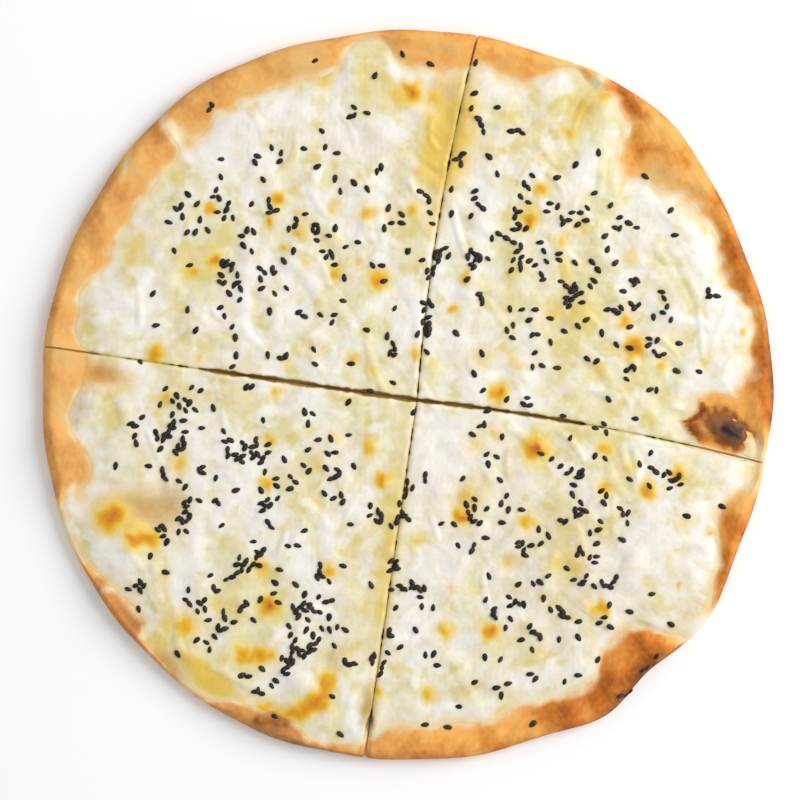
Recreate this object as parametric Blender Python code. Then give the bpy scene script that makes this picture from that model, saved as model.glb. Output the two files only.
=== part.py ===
"""A round manakish cut into four slices: flat bread, melted cheese and black sesame.

Metres, +Z up. The bread rests on its flat underside at z = 0, with the middle of
the round's box at the origin. Angles are degrees, anticlockwise from +X.
"""

import math
import random

import bmesh
import bpy
from mathutils import Euler, Matrix, Vector
from mathutils.bvhtree import BVHTree

MM = 0.001

# The round, seen from above
MEAN_RADIUS = 130.5 * MM
# Where the edge swells or draws in: middle angle, rise, spread in degrees
SWELLS = (
    (50, 4.2 * MM, 11),
    (302, 4.2 * MM, 4.5),
    (322, 2.8 * MM, 5),
    (311, -0.9 * MM, 3),
    (130, 2.3 * MM, 16),
    (-10, -0.9 * MM, 14),
    (225, 0.7 * MM, 20),
    (90, -0.7 * MM, 15),
    (270, -0.4 * MM, 14),
)
EDGE_WOBBLE = 0.35 * MM

# Crust that the cheese leaves bare: from angle, to angle, width in from the edge
LEAST_BARE = 1.8 * MM
BARE_FADE = 2.2  # degrees over which a bare stretch narrows to nothing
BARE_STRETCHES = (
    (-33, -27, 4.5 * MM),
    (-25, -17.5, 10.5 * MM),
    (-15, -6, 9 * MM),
    (-5, 2, 11 * MM),
    (2, 9, 7 * MM),
    (17, 24, 10 * MM),
    (24, 31, 5.5 * MM),
    (32, 37, 10 * MM),
    (39, 49, 20 * MM),
    (49, 57, 6.5 * MM),
    (67, 80, 12 * MM),
    (80, 92, 13 * MM),
    (102, 129, 12.3 * MM),
    (133, 143, 15.5 * MM),
    (143, 160, 14 * MM),
    (160, 171, 10 * MM),
    (172, 181, 19 * MM),
    (182, 196, 13.5 * MM),
    (209, 222, 6.5 * MM),
    (240, 252, 4.5 * MM),
    (252, 263, 3 * MM),
    (266, 302, 12 * MM),
    (305.5, 317, 18 * MM),
)

# Heights
BREAD_THICKNESS = 5.4 * MM
CRUST_RISE = 4.0 * MM  # of a broad bare rim above the bread under the cheese
CRUST_RISE_WIDTH = 6 * MM  # bare width over which the rim gains most of its rise
# Profile of the rim from the cheese's edge (0) to the outer edge (1)
CRUST_PROFILE = ((0.15, 0.55), (0.42, 1.0), (0.70, 0.85), (0.90, 0.30))
EDGE_HEIGHT = 2.4 * MM  # of the outermost line of the rim
UNDERSIDE_ROUNDING = 3.5 * MM
CHEESE_THICKNESS = 1.7 * MM
CHEESE_EDGE_THICKNESS = 0.9 * MM
CHEESE_SHOULDER = 2.5 * MM  # how far in from its edge the cheese is at full thickness
CHEESE_DROOP = 0.45 * MM  # at the cuts
CHEESE_RIPPLE = 0.3 * MM
CLEARANCE = 0.3 * MM  # between bread and cheese
SHOULDER_SLACK = 1.4  # degrees by which the full thickness stops short where the crust widens

# The two cuts, as four arms from where they cross: direction, sideways bow to the
# left of that direction, gap at the crossing, gap at the rim
CROSSING = Vector((3.2 * MM, -1.8 * MM))
ARM_LENGTH = 130 * MM
RIGHT_ARM = (-10.5, 2.5 * MM, 1.1 * MM, 0.8 * MM)
TOP_ARM = (80.6, 2.8 * MM, 0.9 * MM, 0.9 * MM)
LEFT_ARM = (171.8, 0.0, 1.1 * MM, 0.8 * MM)
BOTTOM_ARM = (261.7, 0.0, 0.9 * MM, 2.4 * MM)
SLICES = {
    "ne": (RIGHT_ARM, TOP_ARM),
    "nw": (TOP_ARM, LEFT_ARM),
    "sw": (LEFT_ARM, BOTTOM_ARM),
    "se": (BOTTOM_ARM, RIGHT_ARM),
}

# The charred bubble of dough near the end of the right arm
BUBBLE_MIDDLE = Vector((111 * MM, -11.5 * MM))
BUBBLE_HALF_LENGTH = 12 * MM
BUBBLE_HALF_WIDTH = 6.2 * MM
BUBBLE_RISE = 5.4 * MM  # above the bread's flat top
BUBBLE_TURN = -35

# Black sesame
SEED_LENGTH = 3.1 * MM
SEED_WIDTH = 1.9 * MM
SEED_HEIGHT = 1.1 * MM
SEED_SPACING = 2.3 * MM
SEED_CLEAR_OF_CUT = 1.9 * MM
SEEDS_A_SLICE = 55
# Where seeds lie thickest in each slice: middle x and y in mm
SEED_CLUSTERS = {
    "ne": ((57, 37), (58, 62), (39, 48), (22, 48), (90, 32), (39, 66), (87, 15), (42, 25)),
    "nw": ((-65, 42), (-66, 68), (-55, 55), (-31, 54), (-8, 61), (10, 48), (-7, 19), (-40, 15)),
    "sw": ((-84, -6), (-59, -20), (-80, -44), (-57, -61), (-73, -76), (-36, -92), (-31, -76), (-27, -28)),
    "se": ((94, -28), (61, -32), (66, -62), (41, -78), (23, -40), (2, -66), (42, -54), (70, -44)),
}
SEEDS_A_CLUSTER = 5
CLUSTER_SPREAD = 3.5 * MM

ROWS = 16  # of faces from the crossing to the cheese's edge; the arc has twice as many


def circle_gap(angle, other):
    """Degrees from one direction to another, between -180 and 180."""
    return (angle - other + 180) % 360 - 180


def outline(angle):
    """Radius of the round in a direction."""
    swell = sum(
        rise * math.exp(-0.5 * (circle_gap(angle, middle) / spread) ** 2)
        for middle, rise, spread in SWELLS
    )
    turn = math.radians(angle)
    wobble = math.sin(9 * turn + 1.0) + 0.7 * math.sin(23 * turn + 2.0)
    return MEAN_RADIUS + swell + EDGE_WOBBLE * wobble


def bare_width(angle):
    """Width of the bare crust in a direction."""
    width = LEAST_BARE
    for start, end, full in BARE_STRETCHES:
        beyond = abs(circle_gap(angle, (start + end) / 2)) - (end - start) / 2
        share = min(1.0, max(0.0, 1 - beyond / BARE_FADE))
        width = max(width, full * share)
    turn = math.radians(angle)
    return width * (1 + 0.08 * math.sin(31 * turn) + 0.06 * math.sin(53 * turn + 1))


def widest_bare(angle):
    """Greatest width of the bare crust a little to either side of a direction."""
    return max(bare_width(angle + aside) for aside in (-SHOULDER_SLACK, 0, SHOULDER_SLACK))


def crust_rise(angle):
    """How far the bare rim stands above the bread under the cheese."""
    width = bare_width(angle) - LEAST_BARE
    turn = math.radians(angle)
    uneven = 1 + 0.14 * math.sin(17 * turn + 2) + 0.10 * math.sin(37 * turn)
    return CRUST_RISE * uneven * (1 - math.exp(-max(0.0, width) / CRUST_RISE_WIDTH))


def ripple(x, y):
    """Gentle hills of the melted cheese, from -1 to 1."""
    long_waves = math.sin(x / (5.1 * MM) + 1.3 * math.sin(y / (9 * MM)))
    cross_waves = math.sin(y / (4.3 * MM) + 1.1 * math.sin(x / (7 * MM)) + 2)
    return 0.5 * (long_waves + cross_waves)


def direction(angle):
    return Vector((math.cos(math.radians(angle)), math.sin(math.radians(angle))))


def middle_of_box():
    """Middle of the box round the outline."""
    points = [direction(angle) * outline(angle) for angle in range(360)]
    lows = [min(point[axis] for point in points) for axis in (0, 1)]
    highs = [max(point[axis] for point in points) for axis in (0, 1)]
    return Vector(((lows[0] + highs[0]) / 2, (lows[1] + highs[1]) / 2))


class Slice:
    """Plan of one slice: a quarter between the arm it starts at and the next one."""

    def __init__(self, first_arm, last_arm):
        self.first = first_arm
        self.last = last_arm
        self.sweep = (last_arm[0] - first_arm[0]) % 360
        into_first = direction(first_arm[0] + 90)
        into_last = direction(last_arm[0] - 90)
        corner = (into_first + into_last) / (1 + into_first.dot(into_last))
        half_gap = (first_arm[2] + last_arm[2]) / 4
        self.tip = CROSSING + half_gap * corner

    def side_shift(self, arm, inward, reach):
        """How far a side leaves its straight line, towards the arm's left."""
        heading, bow, tip_gap, rim_gap = arm
        share = reach / ARM_LENGTH
        bowed = 4 * bow * share * (1 - share)
        widened = inward * (rim_gap - tip_gap) / 2 * max(0.0, share) ** 3
        return (bowed + widened) * direction(heading + 90)

    def point(self, share, reach):
        """Point at a reach from the tip, with share 0 at the first side, 1 at the last."""
        ray = direction(self.first[0] + share * self.sweep)
        from_first = (1 - share) ** 2 * self.side_shift(self.first, 1, reach)
        from_last = share ** 2 * self.side_shift(self.last, -1, reach)
        return self.tip + reach * ray + from_first + from_last

    def reach_at(self, share, inset):
        """Reach at which the round's edge is an inset away; inset(angle) is a width."""
        reach = MEAN_RADIUS
        for _ in range(8):
            spot = self.point(share, reach)
            angle = math.degrees(math.atan2(spot.y, spot.x))
            reach += outline(angle) - inset(angle) - spot.length
        return reach

    def edge_point(self, share, inset):
        spot = self.point(share, self.reach_at(share, inset))
        return spot, math.degrees(math.atan2(spot.y, spot.x))

    def inset_arc(self, inset, gap):
        """The arc at an inset, moved squarely inwards by a gap, from side to side."""
        shares = [step / (2 * ROWS) for step in range(2 * ROWS + 1)]
        arc = [self.edge_point(share, inset)[0] for share in shares]
        moved = []
        for share, before, here, after in zip(shares, [arc[0], *arc], arc, [*arc[1:], arc[-1]]):
            inward = Vector((before.y - after.y, after.x - before.x)).normalized()
            if share in (0, 1):
                steepness = max(0.3, -inward.dot(direction(self.first[0] + share * self.sweep)))
                moved.append(self.point(share, self.reach_at(share, inset) - gap / steepness))
            else:
                stretch = max(0.5, inward.dot(Vector((here.y - after.y, after.x - here.x)).normalized()))
                moved.append(here + inward * gap / stretch)
        return moved


def new_object(name, bm, material):
    """Triangulated, outward-facing object from a bmesh."""
    bmesh.ops.triangulate(bm, faces=bm.faces)
    bmesh.ops.recalc_face_normals(bm, faces=bm.faces)
    mesh = bpy.data.meshes.new(name)
    bm.to_mesh(mesh)
    bm.free()
    mesh.materials.append(material)
    made = bpy.data.objects.new(name, mesh)
    bpy.context.scene.collection.objects.link(made)
    return made


def food_material(name, colour, roughness):
    material = bpy.data.materials.new(name)
    material.use_nodes = True
    shader = material.node_tree.nodes["Principled BSDF"]
    shader.inputs["Base Color"].default_value = (*colour, 1.0)
    shader.inputs["Roughness"].default_value = roughness
    shader.inputs["Metallic"].default_value = 0.0
    return material


def strip(bm, row, next_row):
    """Faces between two rows with as many corners each."""
    for at in range(len(row) - 1):
        bm.faces.new((row[at], row[at + 1], next_row[at + 1], next_row[at]))


def side_reaches(reach):
    return [reach * row / ROWS for row in range(1, ROWS)]


def bread_slice(name, plan, material):
    """Flat-topped bread with a risen, rounded rim along its arc."""
    bm = bmesh.new()
    shares = [step / (2 * ROWS) for step in range(2 * ROWS + 1)]

    def arc(inset, height):
        row = []
        for share in shares:
            spot, angle = plan.edge_point(share, inset)
            row.append(bm.verts.new((*spot, height(angle))))
        return row

    def side(share, height):
        reach = plan.reach_at(share, bare_width)
        return [bm.verts.new((*plan.point(share, step), height)) for step in side_reaches(reach)]

    def rounding(angle):
        return min(UNDERSIDE_ROUNDING, 0.7 * bare_width(angle))

    top_arc = arc(bare_width, lambda angle: BREAD_THICKNESS)
    rows = [top_arc]
    for outward, lift in CRUST_PROFILE:
        rows.append(
            arc(
                lambda angle, outward=outward: (1 - outward) * bare_width(angle),
                lambda angle, lift=lift: BREAD_THICKNESS + lift * crust_rise(angle),
            )
        )
    rows.append(arc(lambda angle: 0.0, lambda angle: EDGE_HEIGHT))
    rows.append(arc(lambda angle: 0.25 * rounding(angle), lambda angle: 0.3 * EDGE_HEIGHT))
    rows.append(arc(rounding, lambda angle: 0.0))
    for row, next_row in zip(rows, rows[1:]):
        strip(bm, row, next_row)

    top_tip = bm.verts.new((*plan.tip, BREAD_THICKNESS))
    low_tip = bm.verts.new((*plan.tip, 0.0))
    top_sides = [side(share, BREAD_THICKNESS) for share in (0, 1)]
    low_sides = [side(share, 0.0) for share in (0, 1)]
    low_ends = [bm.verts.new((end.co.x, end.co.y, 0.0)) for end in (top_arc[0], top_arc[-1])]
    for which, end in ((0, 0), (1, -1)):
        strip(bm, [top_tip, *top_sides[which], top_arc[end]], [low_tip, *low_sides[which], low_ends[which]])
        bm.faces.new([row[end] for row in rows] + [low_ends[which]])
    bm.faces.new([top_tip, *top_sides[0], *top_arc, *reversed(top_sides[1])])
    bm.faces.new([low_tip, *low_sides[0], low_ends[0], *rows[-1], low_ends[1], *reversed(low_sides[1])])
    return new_object(name, bm, material)


def cheese_slice(name, plan, material):
    """Rippled sheet over the bread's flat top, thinner at the cuts and at its edge."""
    bm = bmesh.new()
    base = BREAD_THICKNESS + CLEARANCE

    def shoulder(angle):
        return widest_bare(angle) + CLEARANCE + CHEESE_SHOULDER

    def top_corner(across, along):
        """Corner of a square grid, laid over the quarter in rings round the tip."""
        outward = max(across, along, 1)
        share = 0.5 * along / outward if across >= along else 1 - 0.5 * across / outward
        spot = plan.point(share, plan.reach_at(share, shoulder) * max(across, along) / ROWS)
        droop = CHEESE_DROOP if min(across, along) == 0 else 0.0
        return bm.verts.new((*spot, base + CHEESE_THICKNESS + CHEESE_RIPPLE * ripple(*spot) - droop))

    steps = range(ROWS + 1)
    top = [[top_corner(across, along) for along in steps] for across in steps]
    for row, next_row in zip(top, top[1:]):
        strip(bm, row, next_row)
    first_side = [top[across][0] for across in steps]
    last_side = [top[0][along] for along in steps]
    shoulder_arc = top[ROWS] + [top[across][ROWS] for across in reversed(range(ROWS))]

    top_arc, low_arc = [], []
    for spot in plan.inset_arc(bare_width, CLEARANCE):
        top_arc.append(bm.verts.new((*spot, base + CHEESE_EDGE_THICKNESS)))
        low_arc.append(bm.verts.new((*spot, base)))
    strip(bm, shoulder_arc, top_arc)
    strip(bm, top_arc, low_arc)

    low_tip = bm.verts.new((*plan.tip, base))
    low_sides = []
    for side, end in ((first_side, 0), (last_side, -1)):
        low_side = [bm.verts.new((corner.co.x, corner.co.y, base)) for corner in side[1:]]
        strip(bm, [*side, top_arc[end]], [low_tip, *low_side, low_arc[end]])
        low_sides.append(low_side)
    bm.faces.new([low_tip, *low_sides[0], *low_arc, *reversed(low_sides[1])])
    return new_object(name, bm, material)


def combine(target, tool, operation):
    """Boolean of an object or a collection on the target, applied, with the tool removed."""
    modifier = target.modifiers.new(operation.lower(), "BOOLEAN")
    modifier.operation = operation
    modifier.solver = "EXACT"
    if isinstance(tool, bpy.types.Collection):
        modifier.operand_type = "COLLECTION"
        modifier.collection = tool
        used_up = list(tool.objects)
    else:
        modifier.object = tool
        used_up = [tool]
    bpy.context.view_layer.objects.active = target
    bpy.ops.object.modifier_apply(modifier=modifier.name)
    for used in used_up:
        bpy.data.objects.remove(used, do_unlink=True)
    if isinstance(tool, bpy.types.Collection):
        bpy.data.collections.remove(tool)


def add_bubble(bread, cheese):
    """Dough bubble risen out of the bread, with the cheese cut away round it."""
    turn = Matrix.Rotation(math.radians(BUBBLE_TURN), 4, "Z")
    place = Matrix.Translation((*BUBBLE_MIDDLE, BREAD_THICKNESS))

    bpy.ops.mesh.primitive_uv_sphere_add(segments=20, ring_count=10, radius=1)
    bubble = bpy.context.object
    size = Matrix.Diagonal((BUBBLE_HALF_LENGTH, BUBBLE_HALF_WIDTH, BUBBLE_RISE, 1))
    bubble.data.transform(place @ turn @ size)

    bpy.ops.mesh.primitive_cylinder_add(vertices=20, radius=1, depth=2)
    hole = bpy.context.object
    clear = 2 * CLEARANCE
    size = Matrix.Diagonal((BUBBLE_HALF_LENGTH + clear, BUBBLE_HALF_WIDTH + clear, 2 * BUBBLE_RISE, 1))
    hole.data.transform(place @ turn @ size)

    combine(bread, bubble, "UNION")
    combine(cheese, hole, "DIFFERENCE")


def seed_spots(name, plan):
    """Places for seeds: the clusters first, then an even scatter, never too close together."""
    chance = random.Random(name)
    spots = []

    def try_spot(spot):
        if all((spot - other).length > SEED_SPACING for other in spots):
            spots.append(spot)

    for x, y in SEED_CLUSTERS[name]:
        for _ in range(SEEDS_A_CLUSTER):
            away = Vector((chance.gauss(0, 1), chance.gauss(0, 1))) * CLUSTER_SPREAD
            try_spot(Vector((x * MM, y * MM)) + away)
    while len(spots) < 2 * SEEDS_A_SLICE:
        share = chance.random()
        reach = MEAN_RADIUS * math.sqrt(chance.random())
        try_spot(plan.point(share, reach))
    return spots


def clear_of_edges(plan, spot):
    """Whether a seed would stay on the cheese, away from the cuts and the rim."""
    angle = math.degrees(math.atan2(spot.y, spot.x))
    if spot.length > outline(angle) - widest_bare(angle) - CHEESE_SHOULDER - SEED_LENGTH / 2:
        return False
    for share in (0, 1):
        reach = (spot - plan.tip).length
        side = plan.point(share, reach)
        if (side - spot).length < SEED_CLEAR_OF_CUT:
            return False
    clear_of_bubble = BUBBLE_HALF_LENGTH + SEED_LENGTH
    return (spot - BUBBLE_MIDDLE).length > clear_of_bubble


def add_seeds(cheese, name, plan):
    """Sesame pressed flat into the melted cheese."""
    surface = BVHTree.FromPolygons(
        [corner.co for corner in cheese.data.vertices],
        [face.vertices for face in cheese.data.polygons],
    )
    chance = random.Random(name + " turns")
    scatter = bpy.data.collections.new("seeds")
    bpy.context.scene.collection.children.link(scatter)
    for spot in seed_spots(name, plan):
        if len(scatter.objects) == SEEDS_A_SLICE:
            break
        if not clear_of_edges(plan, spot):
            continue
        rest, upward, _, _ = surface.ray_cast(Vector((*spot, 1.0)), Vector((0, 0, -1)))
        if rest is None:
            continue
        bm = bmesh.new()
        bmesh.ops.create_icosphere(bm, subdivisions=1, radius=0.5)
        size = Matrix.Diagonal((SEED_LENGTH, SEED_WIDTH, SEED_HEIGHT, 1))
        turn = Euler((0, 0, chance.uniform(0, math.pi))).to_matrix().to_4x4()
        lean = Vector((0, 0, 1)).rotation_difference(upward).to_matrix().to_4x4()
        growth = Matrix.Scale(chance.uniform(0.92, 1.08), 4)
        place = Matrix.Translation(rest) @ lean @ turn @ growth @ size
        bmesh.ops.transform(bm, verts=bm.verts, matrix=place)
        mesh = bpy.data.meshes.new("seed")
        bm.to_mesh(mesh)
        bm.free()
        scatter.objects.link(bpy.data.objects.new("seed", mesh))
    combine(cheese, scatter, "UNION")


def main():
    for old in list(bpy.data.objects):
        bpy.data.objects.remove(old, do_unlink=True)
    crust = food_material("crust", (0.72, 0.40, 0.16), 0.75)
    melted = food_material("melted cheese", (0.90, 0.84, 0.62), 0.38)
    to_middle = Matrix.Translation((*-middle_of_box(), 0))
    for name, arms in SLICES.items():
        plan = Slice(*arms)
        bread = bread_slice("bread_" + name, plan, crust)
        cheese = cheese_slice("cheese_" + name, plan, melted)
        if name == "ne":
            add_bubble(bread, cheese)
        add_seeds(cheese, name, plan)
        for made in (bread, cheese):
            made.data.transform(to_middle)


main()
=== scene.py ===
"""Looks of a round manakish cut into four slices: baked dough, melted cheese, black sesame."""

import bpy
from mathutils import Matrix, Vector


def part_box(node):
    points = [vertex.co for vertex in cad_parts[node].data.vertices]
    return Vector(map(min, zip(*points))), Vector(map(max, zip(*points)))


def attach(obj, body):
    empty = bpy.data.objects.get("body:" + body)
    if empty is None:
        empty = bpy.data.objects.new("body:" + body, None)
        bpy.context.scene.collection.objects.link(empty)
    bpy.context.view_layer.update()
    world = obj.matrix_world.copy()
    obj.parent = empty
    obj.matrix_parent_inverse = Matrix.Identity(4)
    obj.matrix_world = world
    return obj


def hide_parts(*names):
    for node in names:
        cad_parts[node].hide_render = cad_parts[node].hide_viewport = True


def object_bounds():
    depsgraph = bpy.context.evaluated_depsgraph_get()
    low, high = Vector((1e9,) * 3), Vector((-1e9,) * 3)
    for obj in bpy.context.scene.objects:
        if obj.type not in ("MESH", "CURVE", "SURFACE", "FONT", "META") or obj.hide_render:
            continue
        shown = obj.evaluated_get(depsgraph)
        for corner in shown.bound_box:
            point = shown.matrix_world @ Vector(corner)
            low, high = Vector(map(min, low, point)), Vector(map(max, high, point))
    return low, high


bl_info = {
    "name": "Manakish",
    "version": (1, 0, 0),
    "blender": (4, 5, 0),
    "location": "View3D > Sidebar > Manakish",
    "description": "Baked dough, melted cheese and black sesame of a sliced manakish",
    "category": "Add Mesh",
}

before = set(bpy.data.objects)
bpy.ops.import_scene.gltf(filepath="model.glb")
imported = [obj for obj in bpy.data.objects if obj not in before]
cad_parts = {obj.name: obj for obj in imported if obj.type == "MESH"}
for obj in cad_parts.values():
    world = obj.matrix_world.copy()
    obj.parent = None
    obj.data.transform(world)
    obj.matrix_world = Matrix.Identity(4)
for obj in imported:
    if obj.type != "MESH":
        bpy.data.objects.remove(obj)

import math
from contextlib import contextmanager

import bpy
import numpy as np
from bpy.props import FloatProperty, FloatVectorProperty, IntProperty, PointerProperty
from mathutils import Vector

MM = 0.001
CAD_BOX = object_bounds()

# ---------------------------------------------------------------- the round's plan, in mm
# Places are measured from the middle of the disc, angles anticlockwise from +X in degrees.

MEAN_RADIUS = 130.5
# Where the edge swells or draws in: middle angle, rise, spread in degrees
SWELLS = (
    (50, 4.2, 11), (302, 4.2, 4.5), (322, 2.8, 5), (311, -0.9, 3), (130, 2.3, 16), (-10, -0.9, 14),
    (225, 0.7, 20), (90, -0.7, 15), (270, -0.4, 14),
)
# Size of the even waves of the edge
EDGE_WOBBLE = 0.35

# Least width of bare crust, and the degrees over which a bare stretch narrows to nothing
# and over which the widths are softened
LEAST_BARE = 0.9
BARE_FADE = 2.6
BARE_BLUR = 1.5
# Crust that the cheese leaves bare: from angle, to angle, width in from the edge
BARE_STRETCHES = (
    (-33, -27, 4.5), (-25.5, -17, 10.5), (-15, -6, 3.5), (-5, 2, 11), (2, 9, 7), (10, 15, 4.5),
    (17, 24, 10), (24, 31, 7), (32, 37, 10), (38.5, 48.5, 20), (49, 60, 6.0), (67, 80, 12),
    (80, 92, 13), (93, 101, 3), (102, 118, 12.5), (118, 129, 12), (133, 143, 15.5), (143, 160, 14),
    (160, 166, 9.5), (166, 171, 9), (172, 175.5, 17), (177.5, 180, 15), (182, 187, 9),
    (187.5, 194.5, 14), (201, 208, 1.8), (210.5, 215, 5.5), (215, 221, 7.2), (223, 228, 2.5),
    (240, 251.5, 9), (253, 263, 3), (265, 291, 12), (291, 302.5, 13), (305.5, 315.5, 17),
)

# Where bare crust reaches further in: x, y, half length, half width, turn
CRUST_LOBES = (
    (86.5, 85.5, 11.5, 9.0, 25), (79.0, 102.5, 8.0, 5.0, -50), (-74.5, 98.5, 9.5, 6.0, 62),
    (79.5, -93.5, 9.0, 8.0, 30), (-117.0, -26.0, 9.0, 4.5, 85),
)
# Where cheese reaches out over the crust: x, y, half length, half width, turn
CHEESE_TONGUES = (
    (102.0, -81.0, 7.0, 5.0, 40), (-118.0, -48.0, 9.0, 4.0, -65), (68.0, 111.0, 4.0, 2.4, 60),
    (-81.5, 90.5, 7.0, 1.8, 120),
)
# Where the cheese is so thin that the baked dough shows: x, y, half length, half width, turn,
# how much
THIN_PLACES = (
    (-95, -40.5, 15, 7.5, -6, 0.72), (-106, -43.5, 5, 4, 0, 0.85), (-93.5, -51, 6, 3, 0, 0.75),
    (-85, -95, 9, 3.5, -51, 0.6), (-112, 8, 14, 5.5, -14, 0.95), (-44, -114, 8, 4, 25, 0.7),
    (-84, -80.5, 5, 3, 10, 0.3), (100, -78, 6, 3, 45, 0.3), (14, 110, 8, 6.5, 10, 0.45),
)

# Crust baked more or less than round about: x, y, half length, half width, turn, change in depth
BAKED_PATCHES = (
    (83, 87, 5, 5.5, 0, 0.20), (80.5, 101.5, 5.5, 2.8, -45, 0.26), (76, 108, 3, 2, -40, 0.15),
    (100, 76, 6, 4, -50, -0.06), (-100, 82, 7, 1.5, 78, -0.40), (-88, 91, 5, 4, 60, 0.14),
    (-74, 101, 5, 4, 50, 0.10), (-111, 58, 8, 3, 70, 0.10), (-97.5, -80.5, 5, 1.8, -50, 0.18),
    (-106, -43.5, 5.5, 4.5, 0, 0.50), (-93.5, -51, 6, 3.2, 0, 0.45), (-93, -40, 13, 8, -6, 0.30),
    (119, 43, 8, 4, 80, 0.10), (85, -88, 10, 4, -10, 0.05), (-113, 7, 11, 6, -14, 0.20),
    (-44, -113, 8, 4, 25, 0.12), (14, 110, 8, 6, 0, 0.28), (70, -104, 10, 4, 35, 0.08),
    (84, -98, 7, 3, 50, 0.20), (113, -57, 8, 3, 65, 0.12), (-121, -24, 8, 4, 85, 0.10),
    (57, -110, 8, 4, 30, 0.10),
)

# How deeply the bare crust is baked, 0 to 1: angle, depth
BAKED = (
    (-33, 0.62), (-26, 0.62), (-17, 0.62), (-15, 0.18), (-7, 0.22), (-4, 0.84), (3, 0.76),
    (9, 0.70), (14, 0.64), (20, 0.68), (26, 0.66), (31, 0.58), (36, 0.50), (41, 0.48), (46, 0.52),
    (50, 0.50), (53, 0.62), (57, 0.60), (61, 0.44), (75, 0.50), (92, 0.50), (106, 0.44),
    (118, 0.54), (124, 0.58), (129, 0.54), (131, 0.44), (133.5, 0.62), (137, 0.56), (140, 0.50),
    (145, 0.60), (152, 0.54), (162, 0.52), (170, 0.54), (173, 0.42), (179, 0.46), (185, 0.52),
    (191, 0.60), (196, 0.56), (198, 0.14), (203, 0.22), (208, 0.60), (214, 0.67), (221, 0.76),
    (225, 0.66), (238, 0.62), (242.5, 0.54), (246, 0.80), (250, 0.80), (258, 0.70), (268, 0.58),
    (285, 0.55), (292, 0.62), (303, 0.74), (310, 0.70), (316.5, 0.68), (318.5, 0.22), (324, 0.24),
    (327, 0.62),
)

# Charred streaks on the dough: from x, y, to x, y, half width, depth
CHARRED = (
    (85, -96, 83.5, -98.5, 3.0, 0.30), (79, -105, 74.5, -107.5, 2.6, 0.30),
    (82, -100, 79, -104, 2.2, 0.22), (97, -89, 79, -107.5, 0.9, 0.26),
    (-44, -116.5, -53, -115.5, 2.0, 0.32),
)

# The two cuts as four arms from where they cross: direction, bow to the left of it, gap at
# the crossing, gap at the rim, how far the cheese draws back from the cut
CROSSING = (3.2, -1.8)
ARM_LENGTH = 130.0
RIGHT_ARM = (-10.5, 2.5, 1.1, 0.8, 0.12)
TOP_ARM = (80.6, 2.8, 0.9, 0.9, 0.15)
LEFT_ARM = (171.8, 0.0, 1.1, 0.8, 0.30)
BOTTOM_ARM = (261.7, 0.0, 0.9, 2.4, 0.0)
SLICES = {
    "ne": (RIGHT_ARM, TOP_ARM),
    "nw": (TOP_ARM, LEFT_ARM),
    "sw": (LEFT_ARM, BOTTOM_ARM),
    "se": (BOTTOM_ARM, RIGHT_ARM),
}

# Where melted cheese has run together over a cut: from reach, to reach, share of the gap that
# each side covers
RUN_TOGETHER = {
    RIGHT_ARM: (61, 92, 0.45), LEFT_ARM: (76, 118, 0.42), TOP_ARM: (-9, 140, 0.42),
    BOTTOM_ARM: (-9, 112, 0.485),
}

# Edge of the torn, charred bubble of dough, from its left tip over its upper tip and round
BUBBLE_EDGE = (
    (97.3, -9.0), (100.2, -8.3), (102.7, -7.0), (104.0, -4.9), (104.2, -2.4), (105.9, -3.2),
    (107.8, -3.9), (110.0, -5.6), (113.0, -7.4), (116.0, -9.2), (118.8, -11.8), (120.6, -14.6),
    (119.9, -16.4), (117.5, -17.2), (114.0, -16.9), (110.6, -15.6), (108.0, -14.9), (106.2, -16.0),
    (103.6, -16.2), (100.8, -13.8), (98.8, -10.9),
)
# Its darkest edge: from x, y, to x, y, half width
BUBBLE_HORN = (
    (98.2, -9.4, 100.6, -8.9, 1.3), (100.6, -8.9, 103.2, -7.4, 1.7),
    (103.2, -7.4, 104.6, -5.2, 1.5), (104.6, -5.2, 104.7, -3.0, 1.0),
    (118.8, -12.8, 119.0, -15.5, 1.5), (118.5, -16.2, 111.5, -15.4, 1.5),
    (99.0, -11.0, 101.6, -14.2, 1.5),
)
# Bare, golden dough round the bubble: x, y, half length, half width, turn
BUBBLE_GLOW = (
    (112.5, -4.4, 9.5, 4.2, -8), (112.5, -17.4, 8.0, 3.0, -12), (120.5, -6.5, 4.5, 7.5, 15),
)

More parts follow.
